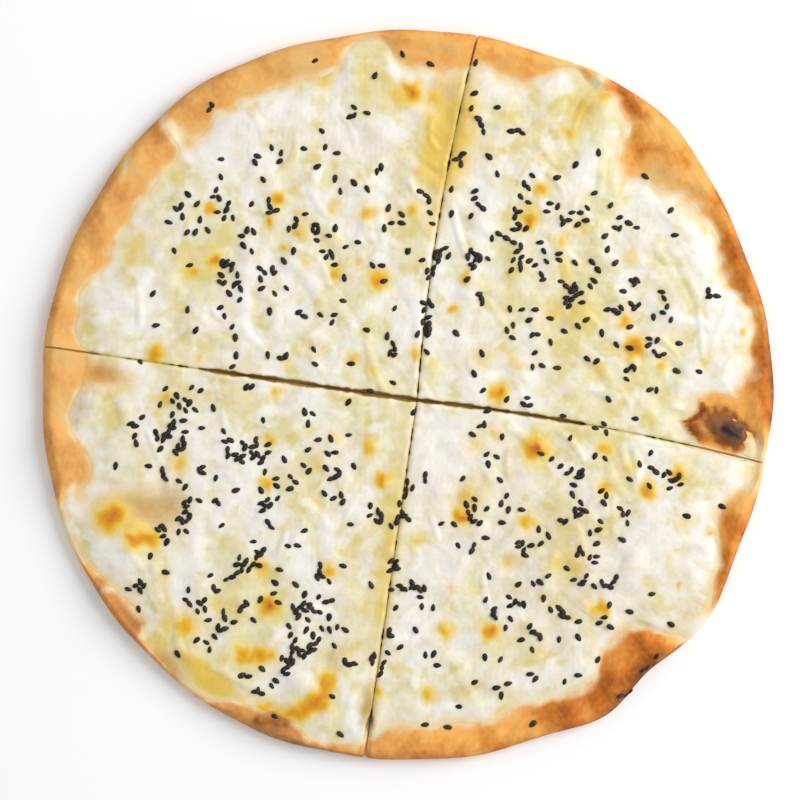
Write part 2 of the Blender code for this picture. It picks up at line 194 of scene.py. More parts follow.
# Browned marks on the cheese: x, y, radius, depth of browning 0 to 1
BROWNED = (
    # upper left slice
    (-69.5, 66, 2.6, 0.55), (-68.5, 47.5, 2.8, 0.75), (-76.5, 44, 2.2, 0.5), (-46, 69.5, 2.4, 0.68),
    (-49, 61.5, 1.8, 0.58), (-44, 52.5, 1.4, 0.45), (-89.5, 14.5, 3.2, 0.62),
    (-74.5, 13.5, 2.2, 0.3), (-14.3, 64.5, 3.0, 0.5), (1.8, 65.5, 2.6, 0.5),
    (-38.5, 57.5, 2.2, 0.45), (-35.5, 48, 2.4, 0.3), (-26, 43.5, 2.6, 0.5), (-17, 46.5, 2.0, 0.3),
    (-10.3, 40.5, 3.3, 0.72), (-17, 77.5, 2.0, 0.3), (4.2, 78.5, 2.0, 0.3), (-41, 72, 1.8, 0.3),
    (-26.5, 65, 2.0, 0.3), (1.3, 107.5, 3.4, 0.78), (-3, 106, 5.0, 0.4), (9.5, 105.5, 3.0, 0.45),
    (-29, 113, 3.0, 0.4), (-55, 102, 3.0, 0.25), (-19.5, 13, 2.4, 0.45), (-12.5, 8.5, 2.8, 0.3),
    (3, 14.5, 2.6, 0.45),
    # upper right slice
    (20.5, 42, 2.6, 0.5), (45, 108, 2.5, 0.3), (58, 93, 2.6, 0.5), (48, 84, 2.4, 0.3),
    (47, 73, 2.7, 0.58), (43, 62.5, 3.0, 0.72), (55, 54.5, 2.8, 0.45), (56, 46, 2.8, 0.3),
    (62, 60, 2.8, 0.35), (70, 106, 2.4, 0.45), (79, 49, 3.4, 0.28), (16.3, 30.2, 2.0, 0.5),
    (51, 29.5, 3.4, 0.32), (62.5, 29, 5.0, 0.3), (77, 26, 2.6, 0.55), (80.5, 17, 3.6, 0.74),
    (68, 8, 4.0, 0.3), (90, 10.5, 2.4, 0.45), (26, 13, 4.4, 0.26), (38, 12, 2.8, 0.28),
    (32.5, 0.8, 3.2, 0.72), (119, 23, 1.5, 0.5),
    # lower left slice
    (-46.5, 1, 2.6, 0.42), (-81, -25, 3.4, 0.42), (-50, -31, 2.7, 0.5), (-49, -16, 2.0, 0.5),
    (-86, -1, 2.6, 0.45), (-13.5, -19, 2.8, 0.5), (-9.2, -30, 2.8, 0.72), (-26, -14.5, 2.4, 0.3),
    (-32, -25, 2.8, 0.3), (-52, -61, 3.0, 0.5), (-28, -62.5, 2.7, 0.58), (-49, -75, 3.6, 0.80),
    (-79, -82, 4.2, 0.5), (-86, -82, 2.8, 0.3), (-88.5, -88, 3.4, 0.3), (-58.5, -91.5, 3.0, 0.6),
    (-52, -92.5, 3.4, 0.66), (-65, -93.5, 2.4, 0.3), (-51, -112, 3.4, 0.6),
    # lower right slice
    (45.5, -19, 4.0, 0.84), (21, -37, 4.6, 0.36), (19.5, -43, 2.8, 0.76), (24, -17.5, 4.4, 0.26),
    (31, -14, 3.4, 0.3), (42.5, -45, 3.0, 0.58), (70, -19, 2.7, 0.5), (78, -26, 3.0, 0.3),
    (85, -34, 3.1, 0.72), (96, -28, 2.7, 0.6), (70, -33, 2.7, 0.5), (123, -26.5, 2.4, 0.3),
    (3.5, -51.5, 2.6, 0.3), (15.5, -69.3, 2.4, 0.28), (13.5, -83.5, 2.6, 0.5),
    (29.3, -83.5, 2.9, 0.75), (7.5, -106, 2.6, 0.5), (35, -59.5, 3.0, 0.3), (58, -60, 5.0, 0.28),
    (68.5, -76, 3.1, 0.55), (98, -45, 3.6, 0.28), (107, -48.5, 1.5, 0.45), (96, -67.5, 1.5, 0.45),
    (-4.5, -97, 2.4, 0.28), (-11, -105, 2.0, 0.7), (35, -115, 2.0, 0.5),
)

# Streaks of deeper browning along a line: from x, y, to x, y, half width, depth
BROWNED_STREAKS = (
    (-28.5, -101, -30, -107, 3.4, 0.66), (-30, -107, -36, -111.5, 3.6, 0.76),
    (-36, -112, -46, -115, 3.4, 0.62), (-106, -44, -104, -42.5, 4.6, 0.80),
    (-97, -51, -91, -51, 3.3, 0.76), (-100, -45, -92, -49, 3.0, 0.34),
    (-60, -94, -49, -92, 2.4, 0.55), (-118, -50, -92, -90, 2.0, 0.22),
)

# Fields of yellow, oily cheese: x, y, half length, half width, turn, strength
YELLOWED = (
    (14.5, 93, 18, 7.5, 80, 1.7), (10, 66, 14, 4, 75, 0.6), (62, 101, 6, 5, 60, 1.0),
    (43, 92, 6, 4, 60, 0.4), (-97, 51, 7, 3.5, 62, 0.8), (-7, -60, 44, 3.5, 83, 0.8),
    (-69.5, -102.5, 14, 4, -43, 1.6), (-79, -82, 8, 5, 10, 0.5), (62, -50, 20, 8, 40, 0.28),
    (-114, 8, 8, 4, 60, 0.3), (30, -30, 22, 10, 30, 0.3), (-60, -50, 18, 5, 88, 0.3),
    (40, 20, 24, 9, 20, 0.28), (-30, 90, 20, 8, 0, 0.28), (90, 20, 14, 8, 60, 0.22),
    (-23, -92, 6, 4, 30, 0.5), (-97, -43, 15, 8, -12, 0.60), (13.5, -83, 4, 3, 0, 0.7),
    (7, -106, 4, 3, 0, 0.7), (20, -37, 6, 5, 0, 0.5), (20, -60, 16, 8, 80, 0.25),
    (-84, -20, 10, 6, 40, 0.3),
)

# Dull, olive to tan places where the cheese is thin: x, y, half length, half width, turn, strength
DULLED = (
    (55, -62, 62, 42, -35, 0.30), (60, 45, 45, 40, 40, 0.15), (-14, -110, 7.5, 3.0, 80, 0.85),
    (-16, -116, 3.0, 2.0, 90, 0.5), (-26, -92, 5, 3.5, 30, 0.45), (20, -104, 6, 4, 20, 0.45),
    (35, -59, 5, 3.5, 30, 0.45), (42.5, -45, 4, 3, 20, 0.5), (20, -37, 6, 5, 0, 0.35),
    (-107, 8, 9, 4, -14, 0.5), (-94, -40, 14, 7.5, -6, 0.62), (-84, -38.5, 8, 7, 15, 0.62),
    (-98, -46, 5, 2.6, 0, 0.45), (-85, -94.5, 10, 3.5, -51, 0.6), (64, 102, 6, 4, 60, 0.35),
    (-76, 101, 6, 8, -40, 0.45), (-8, 88, 10, 4, 20, 0.25), (102, -74, 11, 4, 52, 0.45),
    (-12, 92, 8, 5, 80, 0.3), (14, 108, 7, 5, 0, 0.5), (30, -72, 30, 18, 10, 0.12),
    (17, 97, 16, 4.5, 80, 0.45), (-117, -4, 9, 3.5, 85, 0.5),
)

# Swollen places under the cheese: x, y, half length, half width, turn, rise
MOUNDS = (
    (-102, -49, 14, 11, -40, 2.2), (70, 103, 9, 7, -30, 1.2), (-88, 78, 12, 6, 50, 0.8),
    (98, 32, 12, 7, 75, 0.6), (86, -62, 10, 7, 30, 0.7), (-36, -104, 12, 6, -40, 0.6),
)

# Soft white bands and puffs of curd: x, y, half length, half width, turn, strength
CURD = (
    (22, 40, 24, 3.2, 78, 1), (6, 98, 9, 4, -15, 1), (-37, -102, 9, 4.5, -50, 1),
    (-29, -52, 12, 3, 88, 1), (-75, -48, 18, 3, 89, 1), (-110, -34.5, 10, 2.5, 0, 1),
    (-105, -60, 7, 5, 0, 1), (102, 52, 5, 7, 20, 1), (62, 76, 12, 4, 65, 1),
    (-95, 30, 12, 5, 55, 1), (-60, 100, 14, 5, 12, 1), (100, 4, 9, 5, 80, 1),
    (108, 25, 8, 5, 70, 1), (-20, -115, 3, 8, 10, 1), (80, -60, 12, 4, 50, 1),
    (48, -100, 14, 4, 5, 1), (-10, 92, 13, 5, 8, 1), (-58, 35, 18, 2.5, 90, 1),
    (-107, 34, 8, 9, 60, 1), (-74, 88, 10, 4, 50, 1), (11, -23, 10, 7, 70, 1),
    (88, -51, 13, 6, 30, 1), (-45, -42, 12, 5, 20, 1), (-106, -58, 8, 6, -30, 1),
    (-38, -57, 5, 12, 10, 1), (16, -60, 4, 10, -10, 1), (-52, 99, 12, 4, 20, 1),
)

# Black sesame seeds: x, y, heading
SEEDS = (
    # across the top
    (-11.7, 113.4, 60), (-19.2, 102.1, 135), (-20.7, 98.6, 30), (-19, 99.2, 60), (-14.5, 100, 160),
    (-30.6, 93.7, 125), (-48.4, 87.8, 100), (-45, 85.9, 80), (-45.6, 82.9, 45), (-36.9, 87.4, 165),
    (-29.4, 87.9, 75), (-25.3, 85.8, 0), (-32.1, 81, 35), (-53.3, 84.7, 155), (-54.2, 82.4, 120),
    (-51.4, 76.4, 120), (-25.9, 76.7, 85), (-9.5, 80.8, 85), (-11, 79.2, 75), (-66.3, 83.7, 10),
    (-66.4, 77.4, 110), (-69.6, 103, 120), (-70.6, 101.2, 50), (67.6, 86, 95), (84.3, 77.6, 135),
    (23.5, 107, 30), (22.5, 101.7, 65), (31.6, 102, 5), (24.9, 98, 140), (25.9, 96, 115),
    (26.8, 93.4, 110), (36.6, 93.6, 0), (39, 94, 10), (40.6, 92.9, 145), (28.7, 84.6, 130),
    (31.7, 78.5, 110), (44.1, 77.8, 140), (52.9, 77.1, 15), (59.4, 81.6, 55), (16.9, 83.6, 10),
    (18.6, 84.6, 60), (19.6, 85.6, 20), (18.8, 82, 90),
    # upper band
    (-78.1, 71.2, 140), (-82.4, 66.1, 135), (-80.5, 66.9, 70), (-80, 63.3, 95), (-74.8, 67.8, 55),
    (-73.8, 62.2, 80), (-84.9, 61.3, 165), (-78.4, 57.6, 50), (-75.4, 57.8, 65), (-71.1, 58.5, 130),
    (-82.9, 51.1, 110), (-77.5, 46, 10), (-90.4, 36, 55), (-78.2, 30.3, 75), (-68, 72.8, 80),
    (-69.3, 70.3, 10), (-67.1, 69.9, 110), (-67.7, 64.9, 10), (-63.7, 67.9, 60), (-64.5, 65.6, 60),
    (-65.2, 62.8, 60), (-62.1, 62.8, 90), (-66, 47, 60), (-64.8, 46, 20), (-64.2, 47.4, 40),
    (-62.6, 46.3, 15), (-62.6, 44.6, 80), (-66.3, 42.6, 140), (-66.6, 40, 150), (-65.1, 39.7, 60),
    (-60.5, 42.6, 95), (-61.6, 39, 80), (-60.4, 39.8, 20), (-59.3, 37.6, 110), (-63.5, 36.1, 130),
    (-59.7, 33.7, 35), (-65.1, 27.8, 100), (-66.6, 31, 20), (-19.2, 75.3, 120), (-24, 72.3, 100),
    (-14.4, 73, 120), (-6.9, 66.4, 65), (-2.3, 64.1, 140), (-6, 61, 0), (-2.2, 61, 170),
    (-8.4, 59.2, 90), (-55.6, 67.6, 50), (-49.4, 69, 90), (-49, 66.8, 110), (-49.2, 64.6, 5),
    (-46.8, 65.4, 25), (-36.4, 64.2, 5), (-39.6, 62.3, 120), (-40, 60.2, 60), (-42.3, 58.9, 85),
    (-33.8, 58.6, 90), (-31.8, 59.2, 90), (-32.4, 57.6, 45), (-32.8, 60.4, 0), (-32.4, 54.9, 165),
    (-25.8, 59.2, 75), (-28.1, 56.5, 165), (-22.1, 52.6, 35), (-17.7, 54.2, 0), (-30.4, 51, 170),
    (-29, 49, 60), (-27.3, 50.4, 120), (-26.8, 49.2, 100), (-26.1, 46.2, 20), (-22.6, 41.6, 100),
    (-12.6, 46, 125), (-9.4, 45.9, 0), (-8.5, 40.4, 30), (-0.4, 50.9, 90), (-23, 33.4, 165),
    (-4.7, 30.8, 60), (-59.1, 56.4, 5), (-57.1, 58.5, 70), (-54.8, 58, 110), (-58.4, 53, 130),
    (-55.4, 51, 110), (-40.6, 51, 65), (-44.1, 47.6, 130), (-52.4, 44.8, 145), (-50.9, 43.5, 130),
    (-48.1, 44.6, 80), (-47.3, 43.3, 45), (-52.3, 41.2, 120), (-51.9, 37.8, 30), (-47.3, 36, 130),
    (-43.1, 37.9, 130), (-49.1, 29.6, 90), (-38.7, 29.4, 30), (-36.9, 27.9, 155), (-31, 28.4, 150),
    (-26.1, 28.4, 10), (-26.9, 25.8, 60), (4.4, 72.2, 170), (6.6, 70.7, 160), (7.5, 69, 80),
    (7.8, 64.7, 135), (8.6, 60.8, 155), (0.2, 51, 70), (5, 47.8, 10), (15.4, 73, 70),
    (15.4, 64.2, 60), (23.7, 72.3, 30), (23.5, 69.7, 20), (25, 67.5, 140), (26.5, 66.2, 140),
    (22.3, 63.4, 60), (13.4, 52.2, 25), (14.4, 49.4, 60), (10.2, 50.8, 40), (11.4, 49.6, 90),
    (9.6, 49, 90), (10.8, 47.4, 60), (11.8, 51.4, 30), (6.8, 43.9, 70), (8.3, 43.2, 80),
    (7.6, 41.4, 60), (8.9, 45.1, 60), (5.6, 32.6, 150), (7.4, 33.2, 120), (8.2, 31.9, 130),
    (6.2, 30, 60), (7.3, 27.6, 30), (5.5, 25.8, 80), (22.2, 51, 70), (21.2, 48.9, 90),
    (23.6, 50, 130), (25.2, 49.5, 140), (24, 48, 40), (25.6, 47.8, 60), (22.5, 46.3, 10),
    (23.3, 45.2, 40), (28.4, 48.3, 130), (21, 41, 40), (25.2, 35.8, 20), (26, 34.4, 110),
    (26.4, 32.6, 80), (29.8, 55.6, 90), (32.3, 57.1, 140), (35, 55.6, 145), (37.4, 54.1, 160),
    (36.6, 44.2, 60), (40.1, 52.8, 110), (38.7, 50.9, 30), (37.3, 47.8, 60), (40.2, 48.8, 40),
    (39.8, 46.8, 90), (40, 44.9, 90), (43.1, 47.6, 20), (45, 46, 30), (46.8, 54.1, 0),
    (48.2, 51, 135), (49.1, 47.4, 120), (47.3, 42.8, 120), (47.8, 40.9, 20), (53.6, 50.1, 20),
    (53.6, 47.9, 160), (59.3, 46.9, 120), (54.4, 40.3, 170), (56.3, 38.5, 140), (57.6, 37.2, 100),
    (59, 39.1, 80), (58.5, 36.9, 40), (59.8, 37.8, 100), (61, 36, 30), (59.5, 35.2, 40),
    (56, 33, 60), (57.8, 33.8, 20), (57, 31.4, 40), (56.2, 34.6, 10), (61.6, 32.8, 0),
    (36.2, 30.5, 110), (40.4, 30.3, 20), (45.1, 30.3, 5), (50.4, 27.2, 160), (43, 26.6, 25),
    (63.3, 26.7, 40), (41.2, 74.8, 90), (42.7, 73.4, 120), (40, 70.3, 120), (42.8, 68.3, 160),
    (37.9, 65.8, 110), (39.5, 65, 20), (38, 63.3, 70), (37.4, 58.7, 175), (39.3, 59, 20),
    (39.4, 60.6, 160), (41.8, 59, 45), (50.4, 68, 0), (53.1, 66.9, 60), (49.3, 65.1, 170),
    (58.2, 64.7, 20), (61, 64.6, 5), (54.5, 62.8, 100), (55, 61, 60), (57, 62, 5), (60.2, 60.4, 30),
    (63, 61.9, 0), (63.6, 66.4, 125), (66.1, 71.6, 20), (71.9, 67.3, 60), (75.1, 63, 15),
    (73.6, 59.4, 160), (75.2, 59.2, 60), (78.4, 61, 145), (81.1, 59.4, 0), (69.9, 56.4, 30),
    (70.8, 51.7, 65), (93.2, 65.5, 35), (94.7, 56.7, 15), (65.4, 47.1, 135), (67.4, 44.4, 120),
    (73.6, 46.9, 45), (65.9, 40.6, 145), (64.7, 38.5, 130), (79.6, 40.4, 150), (81.2, 40.7, 140),
    (80.5, 39.5, 60), (76.3, 36.8, 0), (70.7, 30.3, 20), (73.3, 29.9, 160), (74.6, 29, 30),
    (75.7, 30.9, 120), (79.2, 32.4, 140), (80.6, 31, 60), (81.9, 31.9, 60), (89.9, 36.6, 0),
    (90.8, 34.4, 130), (91.9, 31.4, 70), (90.4, 29.2, 160), (93.2, 26.7, 65), (87.1, 27.6, 90),
    (106.5, 36.8, 85), (106.8, 34.9, 10), (109.7, 35.1, 175),
    # middle band
    (-89.3, 24.7, 15), (-75.2, 23, 70), (-94.8, 12.2, 120), (-86.1, 2.2, 45), (-76.8, 2.6, 50),
    (-73.6, 1.5, 30), (-82, -0.3, 110), (-88, -3.3, 65), (-83.6, -2.1, 130), (-78.9, -1.8, 130),
    (-77.6, -2.9, 60), (-81.1, -4, 120), (-78.9, -5.4, 120), (-75.4, -5.3, 130), (-69.1, -4.5, 110),
    (-83.6, -7, 75), (-94.3, -7.9, 35), (-98.3, -10.2, 20), (-96.8, -11, 0), (-97, -14.6, 60),
    (-96.4, -17.1, 110), (-89.4, -13.4, 110), (-88.9, -15.5, 60), (-79.6, -9.1, 20),
    (-83.1, -9.7, 80), (-84.4, -10.7, 60), (-83.2, -11.8, 20), (-84.9, -12.9, 60), (-86.1, -14, 30),
    (-86.8, -15.8, 70), (-84.8, -14.8, 20), (-79.1, -13.1, 10), (-79.9, -15.6, 80),
    (-79.5, -17.6, 80), (-87.9, -19.2, 60), (-81.7, -18.2, 60), (-80.2, -19.2, 20),
    (-82.4, -20.4, 130), (-73.1, -11.7, 0), (-65.4, -12.9, 120), (-65, -16.5, 155), (-63, -16, 150),
    (-62.3, 24.2, 55), (-61.3, 20.3, 90), (-61, 14.1, 95), (-62.2, 10.1, 30), (-49.7, 14.1, 100),
    (-45.1, 13, 165), (-43.3, 13.9, 80), (-33.4, 16.1, 120), (-33, 11, 145), (-14.7, 23.1, 165),
    (-7.4, 20.9, 90), (-5.4, 18.3, 115), (-4.7, 16.4, 110), (-6.4, 14.9, 60), (-4.8, 14.2, 30),
    (-20.3, 11.1, 0), (-5.4, 4.4, 150), (-13.5, 1, 170), (-57.3, 2.8, 60), (-55.4, 2.9, 60),
    (-21.2, -2.6, 55), (-36.6, -6, 100), (-33.7, -6.7, 140), (-35.4, -10.2, 85), (-51.4, -9, 100),
    (-58.6, -17.1, 130), (-57.8, -18.6, 60), (-54, -15.8, 80), (-53.6, -17.6, 80),
    (-55.2, -18.4, 20), (-49.7, -17.6, 20), (-49.6, -20.4, 10), (-64, -19.4, 80),
    (-63.9, -21.6, 60), (-61.3, -21.1, 10), (-60.6, -22.6, 60), (-58.7, -21.7, 20),
    (-59, -23.6, 150), (-55.4, -20.6, 120), (-54.9, -22.2, 30), (-53.3, -21.1, 120),
    (-51.4, -22.4, 60), (-52.3, -24, 20), (-43.9, -22.8, 110), (-31.9, -15.9, 5),
    (-27.4, -15.4, 100), (-21, -14.2, 10), (-35.4, -19.4, 30), (-28.5, -20.8, 140), (-26, -20.4, 5),
    (3.4, 21.6, 60), (6, 24.6, 90), (7.4, 25, 80), (6.2, 22.2, 70), (7.2, 21.4, 60),
    (7.6, 23.2, 90), (6.6, 15.3, 135), (17.1, 21.9, 140), (26.2, 14.8, 120), (23.4, 7.6, 120),
    (26.6, 1.6, 40), (35.1, -1.5, 50), (42.4, -1, 0), (40.9, -3.2, 150), (43.1, -3.7, 10),
    (28.2, -5.5, 10), (55.1, -7.4, 0), (35.1, 23, 110), (37.3, 24.7, 90), (37.1, 20.3, 155),
    (44, 21.2, 60), (45.7, 21.5, 0), (55.5, 22.6, 160), (60.3, 24.4, 120), (50.6, 18.7, 100),
    (44.9, 14.9, 35), (44.2, 9.9, 100), (47.6, 10.4, 150), (52.9, 9.6, 0), (1.9, -6.4, 45),
    (25.4, -11.1, 20), (27.1, -10.4, 100), (22.9, -14, 145), (33.4, -14.9, 80), (28, -21, 45),
    (31.4, -21.9, 150), (57.6, -15.2, 60), (47.1, -20.8, 150), (50.9, -22.8, 40), (68.8, 21.9, 95),
    (74, 17.8, 120), (78.6, 16.7, 160), (78.8, 24.2, 25), (63.6, 12.8, 130), (66.8, 11.9, 35),
    (85.4, 20, 165), (85.3, 17.7, 40), (88.3, 19.3, 60), (87.4, 15.2, 125), (88.8, 13.8, 150),
    (90.5, 14.4, 20), (96.3, 18.3, 170), (77.7, 8.8, 25), (79.2, 10, 45), (80.3, 9.4, 100),
    (77.6, 5.6, 145), (95.4, 8.5, 160), (103.2, 8.3, 165), (85.9, 1.9, 10), (88.2, 1.7, 85),
    (71.1, -1.5, 120), (80.6, -8.4, 170), (66.6, -11.1, 155), (69.5, -10.2, 145),
    (70.4, -13.4, 100), (66.3, -21.7, 70), (70, -22.6, 120), (86.1, -20.6, 60),
    # lower band
    (-103.8, -25.2, 75), (-92.1, -25.2, 175), (-87.2, -26.6, 80), (-86.9, -28.4, 60),
    (-86, -29.8, 140), (-81.2, -30.6, 155), (-79.1, -32.7, 55), (-72.9, -25.6, 25),
    (-73.9, -26.8, 120), (-72.8, -27.6, 160), (-68.2, -29.5, 85), (-74.1, -37.4, 155),
    (-68.5, -37.4, 40), (-67.4, -38.2, 110), (-77.4, -37.3, 70), (-79.2, -38.1, 60),
    (-78.5, -39.5, 20), (-79.1, -41.5, 20), (-81.5, -43.9, 25), (-80, -44.6, 100),
    (-78.4, -44.6, 40), (-77.5, -43.1, 90), (-81.4, -48.6, 70), (-78.6, -48.4, 130),
    (-88.8, -47.8, 140), (-87.6, -46.4, 30), (-86.5, -47.4, 120), (-86.9, -50.1, 20),
    (-85.6, -52.2, 60), (-91.4, -57.2, 75), (-85.9, -62.9, 160), (-70.1, -64, 35),
    (-77.9, -69.1, 90), (-68.9, -68.4, 90), (-67.6, -69.5, 20), (-66.1, -46.3, 30),
    (-99.3, -69, 165), (-96.5, -67.6, 20), (-94.9, -66.4, 110), (-93.6, -67.7, 60),
    (-95.1, -69.4, 120), (-79, -72.6, 150), (-77.4, -74.2, 120), (-72.2, -72.8, 50),
    (-73.9, -73.8, 140), (-50.8, -27.4, 90), (-46.9, -29.7, 10), (-46.7, -32.2, 145),
    (-52.2, -33.8, 115), (-61, -33.8, 10), (-41.7, -29, 130), (-39.9, -30.9, 150),
    (-41.9, -33.3, 10), (-46.2, -36.6, 60), (-49.9, -37.2, 40), (-52.2, -38.4, 20),
    (-50.7, -39.2, 0), (-48.9, -39.2, 60), (-51.6, -41, 20), (-37.1, -24.9, 130),
    (-35.1, -26.9, 60), (-29.1, -26, 130), (-25.2, -26.4, 150), (-24.4, -28, 70),
    (-25.9, -29.2, 30), (-27.5, -29.8, 20), (-19.2, -25.3, 120), (-29.7, -34.9, 120),
    (-26.5, -36.7, 30), (-23.7, -35.4, 100), (-23.1, -37.9, 60), (-1, -30.8, 85), (-0.9, -33.4, 85),
    (-1.4, -35.6, 60), (-3.1, -38.6, 90), (-2.6, -41.8, 120), (-1.4, -42.9, 10), (-3.2, -43.6, 60),
    (-3.8, -44.9, 70), (0, -44, 150), (-13.4, -39.4, 80), (-13.5, -42.7, 30), (-10.6, -41.3, 100),
    (-9.4, -42.7, 90), (-11.2, -44.7, 130), (-9.7, -44.7, 60), (-6, -46.5, 115), (-20.3, -45.9, 0),
    (-49.6, -45.2, 135), (-48.4, -47, 150), (-36.7, -48.1, 20), (-54.9, -52, 5),
    (-42.6, -53.5, 160), (-39.1, -53.4, 160), (-51.4, -55.1, 40), (-53.4, -55.8, 140),
    (-53.8, -57.6, 80), (-52.4, -56.8, 20), (-59.8, -57.6, 80), (-57.4, -58.9, 60),
    (-60.6, -60.1, 20), (-58.6, -60.2, 0), (-55, -60.2, 50), (-53, -60.4, 165), (-58.9, -61.9, 100),
    (-60.6, -63.1, 30), (-62.3, -64.6, 10), (-64.4, -65.4, 10), (-56.4, -61.9, 60),
    (-45.5, -62, 165), (-47.3, -66.6, 150), (-39.9, -67.2, 130), (-31.1, -60.4, 110),
    (-32.2, -64.7, 120), (-30.4, -64.4, 150), (-31.4, -62.8, 90), (-28, -66.1, 120),
    (-23.1, -60.6, 165), (-13.1, -67.4, 130), (-6.2, -59, 30), (-4.2, -59.3, 60), (-4, -61.6, 0),
    (-6.4, -62.4, 40), (-5.3, -60.5, 10), (-5.9, -69.1, 0), (-3.1, -67.7, 160), (-1.1, -68.9, 140),
    (-36.7, -70.8, 70), (-31.7, -71.7, 60), (-29.2, -73.5, 0), (-27.2, -73, 20), (-47.6, -70.4, 10),
    (-52.4, -72.6, 65), (-46, -73.6, 150), (-57.3, -73.8, 130), (6.1, -28.4, 80), (6.1, -30.2, 85),
    (1.6, -32.9, 65), (19.4, -29.7, 60), (28.5, -24.6, 100), (32.6, -30.1, 145), (35, -35.8, 55),
    (33.1, -38.5, 80), (35.6, -40.8, 70), (23.6, -36.9, 130), (20.7, -38.8, 100),
    (23.6, -40.1, 100), (27.9, -40.4, 40), (21.4, -41.8, 100), (22.2, -43.4, 60), (23.4, -44.8, 20),
    (25.5, -45.4, 50), (11.9, -45.6, 25), (16.4, -45.9, 140), (40.4, -40.7, 165), (33.4, -45.3, 0),
    (27.6, -50.7, 170), (17.8, -53.4, 130), (23.4, -53.3, 60), (22.6, -55.4, 60), (46.4, -47.6, 90),
    (49.8, -49.9, 120), (39, -52.3, 30), (40.7, -52.6, 90), (39.2, -53.8, 0), (43.6, -53.4, 10),
    (47.1, -52.8, 30), (41.1, -55, 60), (41.5, -56.8, 150), (28.7, -64.2, 105), (39.2, -67.2, 35),
    (44.4, -66.9, 125), (46.8, -66.4, 145), (49.8, -64.1, 30), (27.6, -72.6, 75),
    (35.9, -71.7, 145), (48.1, -72.2, 90), (38, -73.4, 60), (39.4, -74, 130), (36.2, -74.8, 20),
    (41.1, -74.4, 90), (4.4, -71.7, 170), (-1.6, -68.9, 20), (1.4, -66.6, 100), (1.2, -68.2, 45),
    (2.8, -68.2, 20), (4.2, -69, 130), (5.8, -68.5, 90), (54.1, -25.3, 35), (56.7, -27.7, 10),
    (58, -26.6, 75), (60.6, -27.6, 60), (60.2, -29.2, 10), (61.8, -28.8, 60), (61.9, -27, 80),
    (58.7, -31.9, 160), (58.4, -35.4, 110), (61.4, -38.3, 125), (59.2, -40.9, 80),
    (59.5, -42.7, 60), (61, -42.4, 40), (61.4, -40.5, 0), (63, -41.2, 160), (54.5, -44.6, 150),
    (55.8, -45, 60), (60.9, -54.6, 80), (61.9, -56, 120), (60.1, -56.5, 70), (56.4, -61.6, 140),
    (58.7, -65.6, 20), (61.4, -67.1, 0), (82.2, -24.4, 110), (86.3, -25.8, 165), (87.9, -27.2, 150),
    (78.6, -29.9, 140), (85.6, -32.2, 130), (90.8, -28.4, 60), (92.6, -27.4, 130),
    (93.4, -30.4, 160), (95, -30, 20), (96.2, -28.8, 90), (96.7, -31.8, 10), (92.9, -33.1, 20),
    (68.6, -34, 30), (70.4, -35.6, 70), (69.5, -38.3, 130), (75.2, -40.2, 165), (76.3, -42.2, 80),
    (78.1, -41.9, 60), (77.9, -45.4, 90), (68.4, -44.9, 140), (67.6, -47.8, 20), (64.6, -48.9, 90),
    (75.9, -51.3, 150), (66.9, -52.8, 25), (64.5, -57.6, 60), (66.9, -57.3, 5), (66.3, -59.4, 0),
    (63.2, -64.2, 50), (62.2, -66.2, 20), (66.1, -67.9, 130), (68.8, -66.5, 110), (70, -67.6, 20),
    (71.6, -68, 150), (72.8, -66.4, 30), (73.8, -64.8, 70), (86.6, -70.6, 10), (98.8, -42.9, 170),
    (111.6, -39.6, 155),
    # across the bottom
    (71.4, -74.5, 80), (-95.7, -76.1, 110), (-72, -76, 110), (-74.6, -76.7, 90), (-70.9, -79.9, 20),
    (-67.4, -82.4, 80), (-66.6, -83.6, 20), (-64.8, -82.9, 15), (-68.6, -85.8, 130), (-75, -87, 45),
    (-71.6, -87.8, 140), (-70.4, -90.3, 80), (-81.8, -92, 125), (-59.4, -76.2, 60),
    (-58.4, -74.9, 20), (-54.8, -79.9, 135), (-61.7, -80.6, 10), (-65.5, -76.8, 80),
    (-65, -79.2, 110), (-40.8, -75.2, 100), (-39.6, -76.6, 60), (-38.2, -75.2, 20),
    (-36.4, -76.4, 160), (-34.6, -75.4, 170), (-33.2, -76.8, 160), (-31.4, -77, 150),
    (-37, -73.9, 60), (-35, -74.2, 0), (-38.9, -78.6, 60), (-35.6, -79.7, 130), (-28, -78.9, 85),
    (-42.2, -82, 130), (-41.7, -85.2, 60), (-36.1, -83.4, 45), (-30.6, -82.9, 110),
    (-27.8, -83.4, 120), (-25.1, -82.4, 80), (-22.3, -83.3, 160), (-33.7, -85.4, 100),
    (-31.7, -86.9, 60), (-33, -88.3, 20), (-34.8, -89, 60), (-33.4, -90.4, 20), (-35.3, -91.3, 20),
    (-37.4, -90.6, 0), (-38.6, -92, 150), (-36.8, -92.6, 60), (-39, -90.2, 140), (-41, -91.1, 60),
    (-41.1, -89.2, 80), (-41.6, -93.2, 90), (-40.9, -94.8, 60), (-42.9, -94.5, 130),
    (-42.4, -96.2, 60), (-44.2, -97.6, 60), (-43, -99, 20), (-44.8, -93.4, 80), (-39.9, -86.9, 60),
    (-26.2, -88.9, 130), (-22.4, -94.5, 90), (-20.6, -95.6, 20), (-18.9, -95.3, 170),
    (-13, -93.3, 85), (-11.9, -92.4, 85), (-12.6, -95, 80), (-8.5, -94.9, 60), (-9.2, -96.7, 70),
    (-10.6, -99, 50), (-7.1, -91.5, 150), (-2.8, -89.5, 35), (-6.7, -83.8, 80), (-6.2, -85.3, 0),
    (-4.4, -75.6, 55), (-51.7, -97.2, 130), (-58.9, -99.5, 30), (-56.5, -99.9, 20),
    (-46.9, -101.5, 150), (-48.4, -103.3, 120), (-53.2, -104.9, 90), (-54.4, -105.3, 20),
